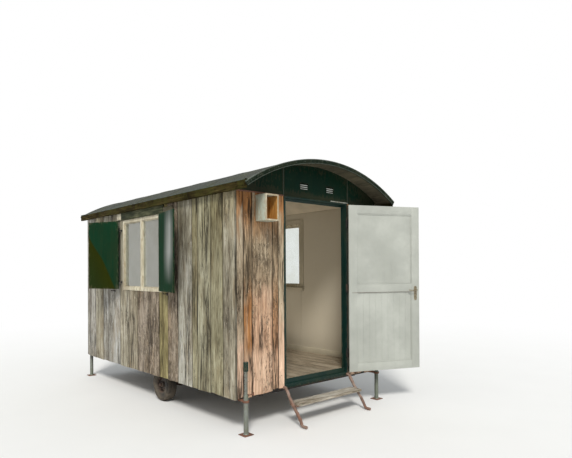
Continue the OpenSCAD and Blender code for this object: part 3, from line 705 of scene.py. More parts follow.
def side_boards(side):
    b = Build("side_boards", "nails")
    sg = SIDES[side]
    n = X * sg
    top = roof_z(W) - 0.004
    w0, w1 = WIN_Y[side], WIN_Y[side] + WIN_W
    for i, (y0, y1) in enumerate(spans(SEAMS[side])):
        y1 -= SEAM_GAP
        seed = i + SEED0[side]
        tint, spots = TONES[BOARD_TONES[side][i]]
        low = SKIRT - 0.004 + 0.012 * wave(seed * 4.1, 0.5, 0.5)
        t = BOARD + 0.0012 * wave(seed * 8.1, 2.5, 0.5)
        tilt = 0.018 * wave(seed * 6.1, 1.5, 0.5)
        cuts = [y0] + [c for c in (w0, w1) if y0 + 0.002 < c < y1 - 0.002] + [y1]
        for ya, yb in spans(cuts):
            beside = ya > w1 - 0.001 or yb < w0 + 0.001
            for z0, z1 in ([(low, top)] if beside else [(low, WIN_Z0 - 0.001), (WIN_Z1 + 0.001, top)]):
                end = z0 == low
                b.plank((sg * CORE_X, ya, z0), Y, Z, n, yb - ya, z1 - z0, t, seed, edge=0.005, painted_edge_shade=0.42,
                        tint=tint, worn=(spots, 0, 0), ends=(tilt if end else 0, 0), rag=0.006 if end else 0)
        at_window = y1 > w0 and y0 < w1
        zs = [z for z in SIDE_NAILS if not (at_window and WIN_Z0 < z < WIN_Z1)]
        nail_pair(b, Vector((sg * (CORE_X + t), y0, 0)), Y, n, y1 - y0, zs, seed)
    b.done(side + "_boards", "hut", (side + "_cladding",))


def end_boards(name, mat, xs, tones, y, n, lows, seed0, replaces):
    """The boards of the front or the rear wall, from their spans, their tones and their lower ends."""
    b = Build(mat, "nails")
    u = X if n.y < 0 else -X
    for i, (x0, x1) in enumerate(xs):
        seed = seed0 + i * 1.31
        w = x1 - x0 - 0.003
        z0 = lows[i % len(lows)]
        o = Vector((x0 if n.y < 0 else x1, y, z0))
        t = BOARD + 0.001 * wave(seed * 8.1, 2.5, 0.5)
        tint, spots, varnish = FRONT_TONES[tones[i]] if mat == "front_boards" else (*TONES[tones[i]], 0.0)
        tilt = 0.03 * wave(seed * 2.1, 1.5, 3.5)
        b.plank(o, u, Z, n, w, GABLE_Z - 0.001 - z0, t, seed, wane=0.004, warp=0.0018, tint=tint,
                worn=(spots, varnish, 0), edge=0.005, painted_edge_shade=0.3, ends=(tilt, 0), rag=0.012, step=0.05)
        nail_pair(b, Vector((o.x, y, 0)) + n * t, u, n, w, END_NAILS, seed)
    b.done(name, "hut", replaces)


for side in SIDES:
    side_boards(side)
left_of_door = spans([-CORE_X, -0.995, -0.888, -0.618, -0.5405, FRAME_X0 + 0.002])
right_of_door = spans([FRAME_X1 + 0.001, 0.68, 0.86, CORE_X])
end_boards("front_boards", "front_boards", left_of_door + right_of_door,
           ["pink", "orange", "figured", "brown", "tan", "tan", "figured", "orange"], BOARD, -Y,
           [0.352, 0.336, 0.350, 0.372, 0.362, 0.345, 0.352, 0.340], 70.3, ("front_cladding",))
rear_xs = [-CORE_X, -0.86, -0.60, -0.41, -0.15, 0.07, 0.30, 0.52, 0.77, 0.93, CORE_X]
end_boards("rear_boards", "side_boards", spans(rear_xs),
           ["beige", "dun", "green", "brown", "beige", "pale", "dusk", "dun", "spotted", "beige"],
           L - BOARD, Y, [0.346, 0.340, 0.352, 0.344], 90.7, ("rear_cladding",))

# Wall core, roof timbers and panes keep their CAD shapes
for node in ("front_wall_left", "front_wall_right", "left_wall", "right_wall", "rear_wall"):
    finish_node(node, "lining")
finish_node("roof_bows", "roof_wood")
finish_node("roof_boards", "roof_wood")
finish_node("window_glass", "glass")

# Inside: floor planks, ceiling boards, and the thin lining with its skirting
PLANK_W = 0.135
PLANK_T = 0.028
CEILING_COUNT = 20
LINING_T = 0.004
SKIRTING_T = 0.012
SKIRTING_H = 0.07
LINING_SEAM = {"left": 3.05, "right": 2.9}


def floor_planks():
    b = Build("floor_boards", "nails")
    x = -CORE_X
    i = 0
    while x < CORE_X - 0.01:
        w = min(PLANK_W, CORE_X - x)
        y0 = WALL if x + w > FRAME_X0 and x < FRAME_X1 else BOARD
        seed = 120.3 + i * 1.7
        joint = 1.3 + 0.9 * (i % 3) * 0.55
        for k, (ya, yb) in enumerate(((y0, joint), (joint, L - BOARD))):
            tone = 1 + 0.16 * wave(seed * 3.3, k * 7.7, 0)
            b.plank((x + 0.0008, ya, FLOOR - PLANK_T), X, Y, Z, w - 0.0016, yb - ya - 0.001, PLANK_T,
                    seed + k * 0.5, wane=0.0004, warp=0.0006, edge=0.002, step=0.3, painted_edge_shade=0.3,
                    tint=[tone] * 3)
            for y in (ya + 0.03, yb - 0.03):
                for s in (0.25, 0.75):
                    b.dome((x + w * s, y, FLOOR + 0.0002), Z, 0.003, 0.0006, mat=1)
        x += PLANK_W
        i += 1
    b.done("floor_planks", "hut", ("floor",))


def ceiling_boards():
    # Lighter than the lining: painted light on the ceiling
    b = Build("lit_ceiling_paint")
    r0, r1 = CEILING_R, CEILING_R + 0.009
    g = 0.0009 / r0
    for t0, t1 in spans(arc(asin(ROOM_X / r1), CEILING_COUNT)):
        mid = (t0 + t1) / 2
        prof = ((t0 + g, r1), (t0 + g, r0 + 0.0025), (t0 + 3 * g, r0), (mid, r0), (t1 - 3 * g, r0),
                (t1 - g, r0 + 0.0025), (t1 - g, r1), (mid, r1))
        b.loft([[on_arc(r, t, y) for t, r in prof] for y in (WALL, L * 0.35, L * 0.7, L - WALL)])
    b.done("ceiling_boards", "hut", ("ceiling",))


def inner_lining():
    b = Build("lining", "inner_trim")
    face = ROOM_X - LINING_T
    top = roof_z(ROOM_X, CEILING_R) - 0.004
    skirting_z = FLOOR + SKIRTING_H
    for side, sg in SIDES.items():
        w0, w1 = WIN_Y[side], WIN_Y[side] + WIN_W
        cuts = [WALL, w0, w0 + WIN_W / 2, w1, LINING_SEAM[side], L - WALL]
        for y0, y1 in spans(cuts):
            at_window = y0 >= w0 - 0.001 and y1 <= w1 + 0.001
            for z0, z1 in ([(FLOOR, WIN_Z0), (WIN_Z1, top)] if at_window else [(FLOOR, top)]):
                b.box((sg * ROOM_X, y0 + 0.001, z0), (sg * face, y1 - 0.001, z1), 0.0012, 1)
        b.box((sg * face, WALL + 0.016, FLOOR), (sg * (face - SKIRTING_T), L - WALL - 0.016, skirting_z),
              0.003, mat=1)
    for y, inward, parts in ((WALL, 1, [(-ROOM_X, FRAME_X0), (FRAME_X1, ROOM_X)]),
                             (L - WALL, -1, [(-ROOM_X, -0.1), (-0.1, ROOM_X)])):
        ya = y + inward * LINING_T
        for xa, xb in parts:
            b.box((xa + 0.004, y, FLOOR), (xb - 0.001, ya, GABLE_Z), 0.0012, 1)
            end = xb - (0.016 if xb > 1 else 0.001)
            b.box((xa + 0.016, ya, FLOOR), (end, ya + inward * SKIRTING_T, skirting_z), 0.003, mat=1)
    b.done("inner_lining", "hut")


floor_planks()
ceiling_boards()
inner_lining()

# Roof: felt in lapped sheets, painted rims at both ends, and eave boards under a drip edge
SHEETS = 5
LAP = 0.05
RIM_R0, RIM_R1 = ROOF_R - 0.040, ROOF_R + 0.005
RIM_FACE = [(RIM_R0, 0.020), (RIM_R0, 0.002), (RIM_R0 + 0.004, 0.0), (RIM_R1 - 0.006, 0.0),
            (RIM_R1 - 0.002, 0.003), (RIM_R1 - 0.002, 0.020)]
RIM_TOP = [(RIM_R1 - 0.008, 0.0015), (RIM_R1 - 0.008, -0.002), (RIM_R1 - 0.003, -0.003), (RIM_R1, -0.002),
           (RIM_R1, 0.020), (RIM_R1 - 0.003, 0.0195)]
RIM_FOOT = [(RIM_R0 - 0.001, 0.004), (RIM_R0 - 0.001, -0.001), (RIM_R0 + 0.003, -0.002),
            (RIM_R0 + 0.005, 0.001)]
EAVE_Z = 2.380
EAVE_CUT = {"left": 2.05, "right": 1.7}
DRIP = [(-0.030, 2.462), (-0.030, 2.4675), (0.001, 2.4665), (0.0014, 2.456), (-0.0002, 2.456),
        (-0.0005, 2.462)]


def felt():
    b = Build("roof_cover")
    wide = (ROOF_Y1 - ROOF_Y0) / SHEETS
    for k in range(SHEETS):
        ya = ROOF_Y0 + wide * k - (LAP if k else 0)
        yb = ROOF_Y0 + wide * (k + 1)
        loops = []
        for t in arc(asin((ROOF_X - 0.025) / ROOF_R), 56):
            loop = []
            for y in [ya + (yb - ya) * j / 10 for j in range(11)]:
                lap = 0.0028 * max(0.0, 1 - max(0.0, y - ya) / 0.07) if k else 0
                loop.append(on_arc(ROOF_R + 0.0005 + lap + 0.0012 * wave(t * 9, y * 3.1, 5.5), t, y))
            loops.append(loop + [on_arc(ROOF_R - 0.0042, t, y) for y in (yb, ya)])
        b.loft(loops)
    b.done("roof_felt", "hut", ("roof_covering",), 40)


def rim_point(r, t, y):
    """A point of a rim, which ends upright at the roof's edge."""
    x = max(-ROOF_X, min(ROOF_X, r * sin(t)))
    return x, y, roof_z(x, r)


def rims():
    b = Build("rim_paint", "rim_edge")
    a = asin(ROOF_X / ROOF_R)
    for y, out in ((-FRONT_OVER, -1), (L + REAR_OVER, 1)):
        for mat, prof in ((0, RIM_FACE), (1, RIM_TOP), (1, RIM_FOOT)):
            b.loft([[rim_point(r, t, y - out * d) for r, d in prof] for t in arc(a, 80)], mat=mat)
        for t in arc(a * 0.95, 18):
            b.dome(on_arc((RIM_R0 + RIM_R1) / 2, t, y + out * 0.0002), Y * out, 0.004, 0.002, mat=1)
    b.done("roof_rims", "hut", ("arch_rims",), 40)


def eaves():
    b = Build("eave_wood", "rim_edge")
    for side, sg in SIDES.items():
        cut = EAVE_CUT[side]
        for k, (ya, yb) in enumerate(((ROOF_Y0, cut), (cut + 0.002, ROOF_Y1))):
            tone = (1.0, 0.96, 0.9) if k else (1.12, 1.08, 0.95)
            b.plank((sg * (ROOF_X - 0.025), ya, EAVE_Z), Z, Y, X * sg, 0.085, yb - ya, 0.025,
                    200.3 + sg * 3.1 + k, wane=0.004, warp=0.002, edge=0.004, tint=tone, step=0.06)
        loops = []
        for i in range(45):
            y = ROOF_Y0 + (ROOF_Y1 - ROOF_Y0) * i / 44
            dz = 0.0022 * wave(y * 3, sg * 5.5, 0.3)
            loops.append([(sg * (ROOF_X + dx), y, z + dz) for dx, z in DRIP])
        b.loft(loops, mat=1)
    b.done("eave_boards", "hut", ("eave_fascias",))


felt()
rims()
eaves()

# Gables: vents with slats in the front one, joint strips, and trim along the foot of each
VENT_Z0 = 2.490
VENT_H = 0.065
VENT_Z1 = VENT_Z0 + VENT_H
VENTS = [(x - 0.055, x + 0.055) for x in (0.048 - 0.205, 0.048 + 0.205)]
VENT_LIP = 0.008
SLATS = 3
GABLE_MATS = ["green_sheet", "dark_steel", "drip_highlight", "rusty_steel", "slat_highlight", "rim_edge", "lining"]
GABLE_NAILS = [-1.0 + 2.0 * i / 23 for i in range(24)]
FOOT_Z = GABLE_Z - 0.012


def gable_pick(p):
    """Lining on the inner face, steel inside the vents and green sheet elsewhere."""
    if p.y > WALL - 0.001:
        return 6
    in_x = any(a + 0.0005 < p.x < c - 0.0005 for a, c in VENTS)
    return 1 if in_x and VENT_Z0 + 0.0005 < p.z < VENT_Z1 - 0.0005 else 0


def gable_extra(b):
    for a, c in VENTS:
        lips = bars(VENT_Z0 - VENT_LIP, VENT_Z1 + VENT_LIP, a - VENT_LIP, c + VENT_LIP, VENT_LIP)
        for z0, z1, x0, x1 in lips:
            b.box((x0, -0.003, z0), (x1, 0.003, z1), 0.001, 1)
        for i in range(SLATS):
            z = VENT_Z0 + (i + 0.55) * VENT_H / SLATS
            m = Matrix.Translation(((a + c) / 2, 0.014, z)) @ Matrix.Rotation(radians(35), 4, "X")
            b.box((-0.0545, -0.0125, -0.002), (0.0545, 0.0125, 0.002), 0.0012, 1, m=m)
            # Pale lips behind each slat: painted highlight on the slats' front edges
            b.box((a, 0.0005, z - 0.0125), (c, 0.0040, z - 0.0045), 0.0012, 1, mat=4)
    for x in (-0.462, 0.560):
        top = roof_z(x) - 0.006
        b.box((x - 0.018, -0.0016, FOOT_Z), (x + 0.018, 0.004, top), 0.001, 1)
        b.box((x - 0.0025, -0.0030, FOOT_Z), (x + 0.0025, 0.000, top), 0.0008, 1, mat=5)
    b.box((-W + 0.015, -0.004, FOOT_Z), (FRAME_X0 - 0.002, 0.002, GABLE_Z + 0.002), 0.001, 1, mat=3)
    b.box((FRAME_X0 - 0.004, -0.006, GABLE_Z - 0.004), (0.26, 0.002, GABLE_Z + 0.004), 0.001, 1)
    # The pale strip over the right part of the door head is a painted highlight where the drip edge catches
    # light
    b.box((0.26, -0.010, GABLE_Z - 0.006), (FRAME_X1 + 0.006, 0.002, GABLE_Z + 0.005), 0.002, 1, mat=2)
    b.box((FRAME_X1 + 0.008, -0.004, FOOT_Z), (W - 0.015, 0.002, GABLE_Z + 0.002), 0.001, 1)
    for x in GABLE_NAILS:
        b.dome((x, -0.0002, GABLE_Z + 0.018), -Y)


def rear_gable_pick(p):
    return 1 if p.y < L - WALL + 0.001 else 0


def rear_gable_extra(b):
    for x in (-0.38, 0.38):
        b.box((x - 0.006, L - 0.002, FOOT_Z), (x + 0.006, L + 0.0025, roof_z(x) - 0.006), 0.001, 1)
    b.box((-W + 0.015, L - 0.002, FOOT_Z), (W - 0.015, L + 0.004, GABLE_Z + 0.002), 0.001, 1)
    for x in GABLE_NAILS:
        b.dome((x, L + 0.0002, GABLE_Z + 0.018), Y)


bevel_copy("front_gable", "front_gable_sheet", "green_sheet", 0, mats=GABLE_MATS, pick=gable_pick,
           extra=gable_extra)
bevel_copy("rear_gable", "rear_gable_sheet", "green_sheet", 0, mats=["green_sheet", "lining"],
           pick=rear_gable_pick, extra=rear_gable_extra)

# Door frame, sill, hinges and the leaf, whose own coordinates start at the hinge line
bevel_copy("door_frame", "door_frame_wood", "green_wood")
bevel_copy("door_sill", "door_sill_wood", "green_wood", 0.004)
bevel_copy("door_hinge_pins", "door_hinges_fixed", "dark_steel", 0)
LEAF = HUT @ Matrix.Translation(HINGE) @ Matrix.Rotation(DOOR_OPEN, 4, "Z")
LEAF_X0, LEAF_X1 = -0.951, -0.008
LEAF_Y0, LEAF_Y1 = 0.008, 0.053
LEAF_Z0, LEAF_Z1 = 0.400, 2.370
LEAF_FACES = ((LEAF_Y1, 1), (LEAF_Y0, -1))
STILE = 0.105
RAIL = 0.098
MID = 0.935
PANEL_IN = 0.009
PANEL_BOARDS = 9
MOULDING = 0.012
HANDLE_X = -0.896
LEVER_Z = 1.355
PLATE_Z0, PLATE_Z1 = LEVER_Z - 0.127, LEVER_Z + 0.047
KEY_Z = LEVER_Z - 0.072


def door_leaf():
    """The leaf in two skins, light inside and green outside, with a boarded panel below a plain one."""
    b = Build("door_paint", "green_wood", "dark_steel", "nails")
    x0, x1, y0, y1, z0, z1 = LEAF_X0, LEAF_X1, LEAF_Y0, LEAF_Y1, LEAF_Z0, LEAF_Z1
    xa, xb = x0 + STILE, x1 - STILE
    mid = (y0 + y1) / 2
    for mat, (face, out) in enumerate(LEAF_FACES):
        b.box((x0, mid, z0), (xa, face, z1), mat=mat)
        b.box((xb, mid, z0), (x1, face, z1), mat=mat)
        back = 0.0003 if out > 0 else 0
        for za, zb in ((z0, z0 + RAIL), (z0 + MID, z0 + MID + RAIL), (z1 - RAIL, z1)):
            b.box((xa - 0.0005, mid, za), (xb + 0.0005, face - back, zb), 0.0015, mat=mat)
        deep = face - out * PANEL_IN
        for za, zb, count in ((z0 + RAIL, z0 + MID, PANEL_BOARDS), (z0 + MID + RAIL, z1 - RAIL, 1)):
            w = (xb - xa) / count
            gap, edge = (0.0002, 0.0014) if count > 1 else (0, 0.001)
            for i in range(count):
                b.box((xa + i * w + gap, mid, za), (xa + (i + 1) * w - gap, deep, zb), edge, 1, mat=mat)
            for ma, mb, mc, md in bars(xa, xb, za, zb, MOULDING):
                b.box((ma, deep - out * 0.001, mc), (mb, deep + out * 0.006, md), 0.004, mat=mat)
    # A thin dark strip under the mid rail on the light face: painted shadow of the rail on the panel below
    b.box((x0 + 0.03, y1 - 0.002, z0 + MID - 0.0035), (x1 - 0.035, y1 + 0.0006, z0 + MID), 0.0004, 1, mat=3)
    b.box((x0 - 0.0008, y0 + 0.002, z0 + 0.001), (x0 + 0.004, y1 - 0.010, z1 - 0.001), 0.001, 1, mat=1)
    knuckle = mirrored([(0.00305, -0.0164), (0.0052, -0.0164), (0.006, -0.0155)])
    for z in (z0 + 0.22, (z0 + z1) / 2, z1 - 0.22):
        b.lathe(knuckle, (0, 0, z), Z, 20, mat=2)
        b.box((-0.032, 0.0052, z - 0.0164), (-0.002, 0.0082, z + 0.0164), 0.0008, 1, mat=2)
        b.box((-0.0075, 0.0052, z - 0.05), (-0.0062, 0.040, z + 0.05), 0.0004, 1, mat=2)
    b.done("door_leaf_joinery", "door", ("door_leaf",), 35, LEAF)


def handle_plates():
    """A plate with rounded corners, two screws and a keyhole on each face of the leaf."""
    b = Build("handle_metal", "nails")
    hw, r = 0.020, 0.019
    outline = []
    for cx, cz, start in ((hw - r, PLATE_Z1 - r, 0), (-hw + r, PLATE_Z1 - r, 90),
                          (-hw + r, PLATE_Z0 + r, 180), (hw - r, PLATE_Z0 + r, 270)):
        for a in [radians(start + 15 * k) for k in range(7)]:
            outline.append((cx + r * cos(a), cz + r * sin(a)))
    cz = (PLATE_Z0 + PLATE_Z1) / 2
    for face, out in LEAF_FACES:
        b.loft([[(HANDLE_X + x * k, face + out * up, cz + (z - cz) * (0.75 + k * 0.25)) for x, z in outline]
                for up, k in ((0.0, 1.0), (0.0022, 1.0), (0.0034, 0.94), (0.0038, 0.86))])
        for z in (PLATE_Z1 - 0.012, PLATE_Z0 + 0.012):
            b.dome((HANDLE_X, face + out * 0.0038, z), Y * out, 0.0042, 0.0012, 12)
        slot, edge = (0.0041, 0.0004) if out > 0 else (0.0035, 0)
        b.box((HANDLE_X - 0.0016, face + out * 0.0036, KEY_Z - 0.013),
              (HANDLE_X + 0.0016, face + out * slot, KEY_Z), edge, 1, mat=1)
        b.dome((HANDLE_X, face + out * 0.0036, KEY_Z), Y * out, 0.0036, 0.0008, 12, mat=1)
    b.done("door_handle_plates", "door", ("handle_plates",), 40, LEAF)


def lever():
    """A neck and a slightly bowed, tapering grip on each face, and the bar that joins them."""
    b = Build("handle_metal")
    neck = [(0.0002, 0.0), (0.0090, 0.0), (0.0090, 0.006), (0.0072, 0.009), (0.0062, 0.020), (0.0066, 0.032),
            (0.0002, 0.034)]
    rs = [0.0068 - 0.0016 * k / 14 + (0.0012 if k > 11 else 0) for k in range(15)]
    rs[0] -= 0.003
    rs[14] -= 0.0035
    for face, out in LEAF_FACES:
        b.lathe(neck, (HANDLE_X, face + out * 0.003, LEVER_Z), Y * out, 24)
        pts = []
        for t in [k / 14 for k in range(15)]:
            bow = sin(t * pi)
            pts.append((HANDLE_X - 0.008 + 0.117 * t, face + out * (0.041 + 0.005 * bow - 0.010 * t ** 3),
                        LEVER_Z - 0.004 * bow))
        b.tube(pts, rs, 16)
    b.tube([(HANDLE_X, LEAF_Y0 - 0.006, LEVER_Z), (HANDLE_X, LEAF_Y1 + 0.006, LEVER_Z)], 0.005, 12)
    b.done("door_lever_handle", "lever", ("door_lever",), 45, LEAF)


door_leaf()
handle_plates()
lever()

# Windows: frames and beads round the panes, and the trim inside
BEAD = 0.012
TRIM = 0.055
HEADER_NAILS = (2.31, 2.362)


def window(side):
    b = Build("cream_wood", "inner_trim")
    sg = SIDES[side]
    y0, y1, z0, z1 = WIN_Y[side], WIN_Y[side] + WIN_W, WIN_Z0, WIN_Z1

    def box(xa, xb, ya, yb, za, zb, r=0.003, mat=0):
        b.box((sg * xa, ya, za), (sg * xb, yb, zb), r, mat=mat)

    bar = WIN_BAR
    mid = (y0 + y1) / 2
    light_w = (WIN_W - 3 * bar) / 2
    lights = (y0 + bar, mid + bar / 2)
    for ya, yb in ((y0, y0 + bar), (y1 - bar, y1), (mid - bar / 2, mid + bar / 2)):
        box(ROOM_X, W + 0.006, ya, yb, z0, z1)
    for za, zb in ((z0, z0 + bar), (z1 - bar, z1)):
        for ya in lights:
            box(ROOM_X, W + 0.005, ya - 0.0005, ya + light_w + 0.0005, za, zb)
    for ya in lights:
        for xa, xb in ((CORE_X + 0.002, CORE_X + 0.014), (CORE_X - 0.014, CORE_X - 0.002)):
            for bead in bars(ya, ya + light_w, z0 + bar, z1 - bar, BEAD):
                box(xa, xb, *bead, 0.004)
    xi = ROOM_X - LINING_T
    for ya, yb, za in ((y0 - TRIM, y0 + 0.008, z0 - 0.05), (y1 - 0.008, y1 + TRIM, z0 - 0.05),
                       (y0 + 0.008, y1 - 0.008, z1 - 0.008)):
        box(xi - 0.012, xi + 0.001, ya, yb, za, z1 + TRIM, mat=1)
    box(xi - 0.045, xi + 0.001, y0 - 0.065, y1 + 0.065, z0 - 0.022, z0 + 0.006, mat=1)
    box(W - 0.004, W + 0.007, y0 + 0.004, y1 - 0.004, z0 + 0.001, z0 + 0.010, 0.002)
    b.done(side + "_window", "hut", (side + "_window_frame",))


def header_extra(b):
    """Nails in the board above each window, a pale piece of board beyond it and a dark one before it."""
    for side, sg in SIDES.items():
        wy = WIN_Y[side]
        for y in (wy + 0.05, wy + 0.38, wy + 0.72, wy + 0.98):
            for z in HEADER_NAILS:
                b.dome((sg * (W + 0.0222), y, z), X * sg, 0.004, 0.0015, mat=1)
        xa, xb = sg * (W - 0.002), sg * (W + 0.018)
        b.box((xa, wy + WIN_W + 0.024, 2.292), (xb, wy + WIN_W + 0.165, 2.378), 0.003, mat=2)
        b.box((xa, wy - 0.27, 2.296), (xb, wy - 0.054, 2.352), 0.003, mat=3)


bevel_copy("window_headers", "window_header_boards", "green_wood",
           mats=["header_wood", "nails", "cream_wood", "roof_wood"], extra=header_extra)
for side in SIDES:
    window(side)
bevel_copy("shutter_pins", "shutter_pintles", "dark_steel", 0)

# Shutters: the near one hangs on the door side of its window, the far one on the other
SHUTTER_W = 0.549
SHUTTER_EDGE = 0.008
SHUTTER_GAP = 0.004
SHUTTER_T = 0.018
SHUTTER_FACE = SHUTTER_GAP + SHUTTER_T
SHUTTER_Z0, SHUTTER_Z1 = WIN_Z0 + 0.014, WIN_Z1 - 0.008
PIN_X = 1.136
PIN_Y = {"near": -0.014, "far": WIN_W + 0.036}
OPENED = {"near": radians(168), "far": radians(159)}
KNUCKLE_BORE = 0.0043
STRAP_FROM = 0.0056
CREASE_FOOT = 0.05
CREASE_SLOPE = 0.86
# Where the painted sheen starts across the left near shutter
SHEEN_FROM = 0.21


def shutter_place(side, end):
    m = HUT @ Matrix.Scale(-SIDES[side], 4, X)
    m = m @ Matrix.Translation((-PIN_X, WIN_Y[side] + PIN_Y[end], 0))
    m = m @ Matrix.Scale(-1 if end == "far" else 1, 4, Y)
    return m @ Matrix.Rotation(OPENED[end], 4, "Z")


def sheet_face(b, far):
    """The bowed sheet and its folded edges, with a slight crease across the far shutter."""
    x1, z0, z1 = SHUTTER_FACE, SHUTTER_Z0, SHUTTER_Z1
    rows, cols = 26, 16
    verts = {}
    for i in range(rows + 1):
        for j in range(cols + 1):
            u, v = j / cols, i / rows
            fold = max(0.0, 1 - abs(v - CREASE_SLOPE * (u - CREASE_FOOT)) * 5) if far else 0.0
            bow = sin(u * pi) * sin(v * pi)
            flat = min(1.0, 12 * min(u, 1 - u, v, 1 - v))
            dent = 0.0016 * fold + 0.0016 * bow + 0.0007 * wave(u * 4 + far, v * 6, 3.1)
            at = (x1 - 0.0014 + flat * dent, SHUTTER_EDGE + 0.001 + (SHUTTER_W - 0.002) * u,
                  z0 + 0.001 + (z1 - z0 - 0.002) * v)
            verts[i, j] = b.bm.verts.new(at)
    for i in range(rows):
        for j in range(cols):
            b.bm.faces.new((verts[i, j], verts[i, j + 1], verts[i + 1, j + 1], verts[i + 1, j]))
    rim = [verts[0, j] for j in range(cols + 1)] + [verts[i, cols] for i in range(1, rows + 1)]
    rim += [verts[rows, j] for j in range(cols - 1, -1, -1)] + [verts[i, 0] for i in range(rows - 1, 0, -1)]
    back = [b.bm.verts.new((x1 - 0.004, v.co.y, v.co.z)) for v in rim]
    for k in range(len(rim)):
        m = (k + 1) % len(rim)
        b.bm.faces.new((rim[k], rim[m], back[m], back[k]))
    b.bm.faces.new(back[::-1])
    b.stamp()


def shutter(side, end, mat):
    """A sheet-steel shutter, in its own paint on the inner face, on two strap hinges."""
    b = Build(mat, "dark_steel", "shutter_paint")
    z0, z1 = SHUTTER_Z0, SHUTTER_Z1
    b.box((SHUTTER_GAP, SHUTTER_EDGE, z0), (SHUTTER_FACE - 0.0015, SHUTTER_EDGE + SHUTTER_W, z1), mat=2)
    sheet_face(b, end == "far")
    knuckle = mirrored([(KNUCKLE_BORE, -0.015), (0.0074, -0.015), (0.008, -0.0142)])
    strap = [(STRAP_FROM, -0.0148), (0.245, -0.012), (0.258, -0.008), (0.265, 0.0), (0.258, 0.008),
             (0.245, 0.012), (STRAP_FROM, 0.0148)]
    for z in (z0 + 0.11, z1 - 0.11):
        b.lathe(knuckle, (0, 0, z), Z, 24, mat=1)
        b.loft([[(x, y, z + dz) for y, dz in strap] for x in (0.0002, 0.0038)], mat=1)
        for y in (0.05, 0.14, 0.23):
            b.dome((0.0003, y, z), -X, 0.005, 0.0022, 10, mat=1)
    node = f"{side}_{end}_shutter"
    b.done(node + "_sheet", node, (node,), 40, shutter_place(side, end))


def crease():
    """The fold across the left far shutter: a point on it and the direction of the side painted a lighter
    olive, which is painted light.
    """
    m = shutter_place("left", "far")
    h = SHUTTER_Z1 - SHUTTER_Z0
    point = m @ Vector((SHUTTER_FACE, SHUTTER_EDGE + CREASE_FOOT * SHUTTER_W, SHUTTER_Z0))
    normal = m.to_3x3() @ Vector((0, CREASE_SLOPE * h, -SHUTTER_W)).normalized()
    return tuple(point), tuple(normal)


def sheen_line():
    """The start of the painted sheen, a pale band of painted highlight on the left near shutter, and the
    direction across its leaf.
    """
    m = shutter_place("left", "near")
    return tuple(m @ Vector((SHUTTER_FACE, SHUTTER_EDGE + SHEEN_FROM, SHUTTER_Z0))), tuple(m.to_3x3() @ Y)


def stays():
    """Small iron catches on the wall under the open shutters."""
    b = Build("dark_steel")
    z = SHUTTER_Z0 - 0.030
    for side, sg in SIDES.items():
        for y in (WIN_Y[side] - 0.115, WIN_Y[side] + WIN_W + 0.265):
            b.box((sg * (W - 0.001), y - 0.014, z - 0.020), (sg * (W + 0.004), y + 0.014, z + 0.012), 0.001)
            hook = ((0, 0), (0.045, 0), (0.052, 0.004), (0.054, 0.016))
            b.tube([(sg * (W + dx), y, z + dz) for dx, dz in hook], [0.0055, 0.0055, 0.0055, 0.004], 12)
    b.done("shutter_stays", "hut")


GREEN = dict(base=(0.006, 0.034, 0.015), dirt=(0.022, 0.034, 0.014), rough=(0.45, 0.65), dirt_share=0.4,
             chips=((0.12, 0.10, 0.06), 0.3), brush=0.1, spec=0.015)
# The olive side of the crease on the left far shutter: painted light
CREASE_LIGHT = (*crease(), [(0.495, 0.0), (0.515, 1.0), (0.85, 0.65)], None, (0.026, 0.032, 0.002))
# A pale band on the left near shutter: painted sheen, a highlight laid into the paint
SHEEN_BAND = (*sheen_line(), [(0.50, 0.0), (0.60, 0.45), (0.71, 1.0), (0.79, 0.35), (0.85, 0.2)],
         (SHUTTER_Z0 + 0.08, SHUTTER_Z1), (0.56, 0.57, 0.54))
M["shutter_paint"] = paint("shutter_paint", **GREEN)
M["crease_lit_paint"] = paint("crease_lit_paint", band=CREASE_LIGHT, **GREEN)
M["sheen_paint"] = paint("sheen_paint", band=SHEEN_BAND, **GREEN)
shutter("left", "near", "sheen_paint")
shutter("left", "far", "crease_lit_paint")
shutter("right", "near", "shutter_paint")
shutter("right", "far", "shutter_paint")
stays()


def wall_box():
    """The open box on the front wall: painted outside, plywood inside, with a pale lip."""
    b = Build("box_paint", "box_ply", "cream_wood", "nails")
    cx, w, d, z0, h, t = -0.755, 0.17, 0.16, 2.100, 0.265, 0.01
    x0, x1, z1 = cx - w / 2, cx + w / 2, z0 + h
    for xa, xb, za, zb in bars(x0, x1, z0, z1, t):
        b.box((xa, -d + 0.001, za), (xb, 0, zb), 0.0012)
    b.box((x0 + t, -t, z0 + t), (x1 - t, 0, z1 - t), 0.0005, mat=1)
    b.box((x1 - t - 0.002, -d + 0.004, z0 + t), (x1 - t, -t, z1 - t), 0.0004, 1, mat=1)
    b.box((x0 + t, -d + 0.004, z0 + t), (x1 - t - 0.002, -t, z0 + t + 0.0015), 0.0004, 1, mat=1)
    for xa, xb, za, zb in bars(x0 - 0.001, x1 + 0.001, z0 - 0.001, z1 + 0.001, t + 0.007):
        b.box((xa, -d - 0.001, za), (xb, -d + 0.003, zb), 0.001, 1, mat=2)
    for z in (z0 + 0.005, z1 - 0.005):
        for y in (-0.02, -0.08, -0.14):
            b.dome((x0 - 0.0002, y, z), -X, 0.002, 0.0006, mat=3)
            b.dome((x1 + 0.0002, y, z), X, 0.002, 0.0006, mat=3)
    b.done("front_box", "hut", ("wall_box",))


# Step: two bent rails from the sill to the ground, with a plank on a flat bar between them
STEP_X0, STEP_X1 = FRAME_X0 - 0.011, FRAME_X1 - 0.013
RAIL_TOP = 0.365
RAIL_R = 0.017
TREAD_Z = 0.205
TREAD_T = 0.025
TREAD_D = 0.165


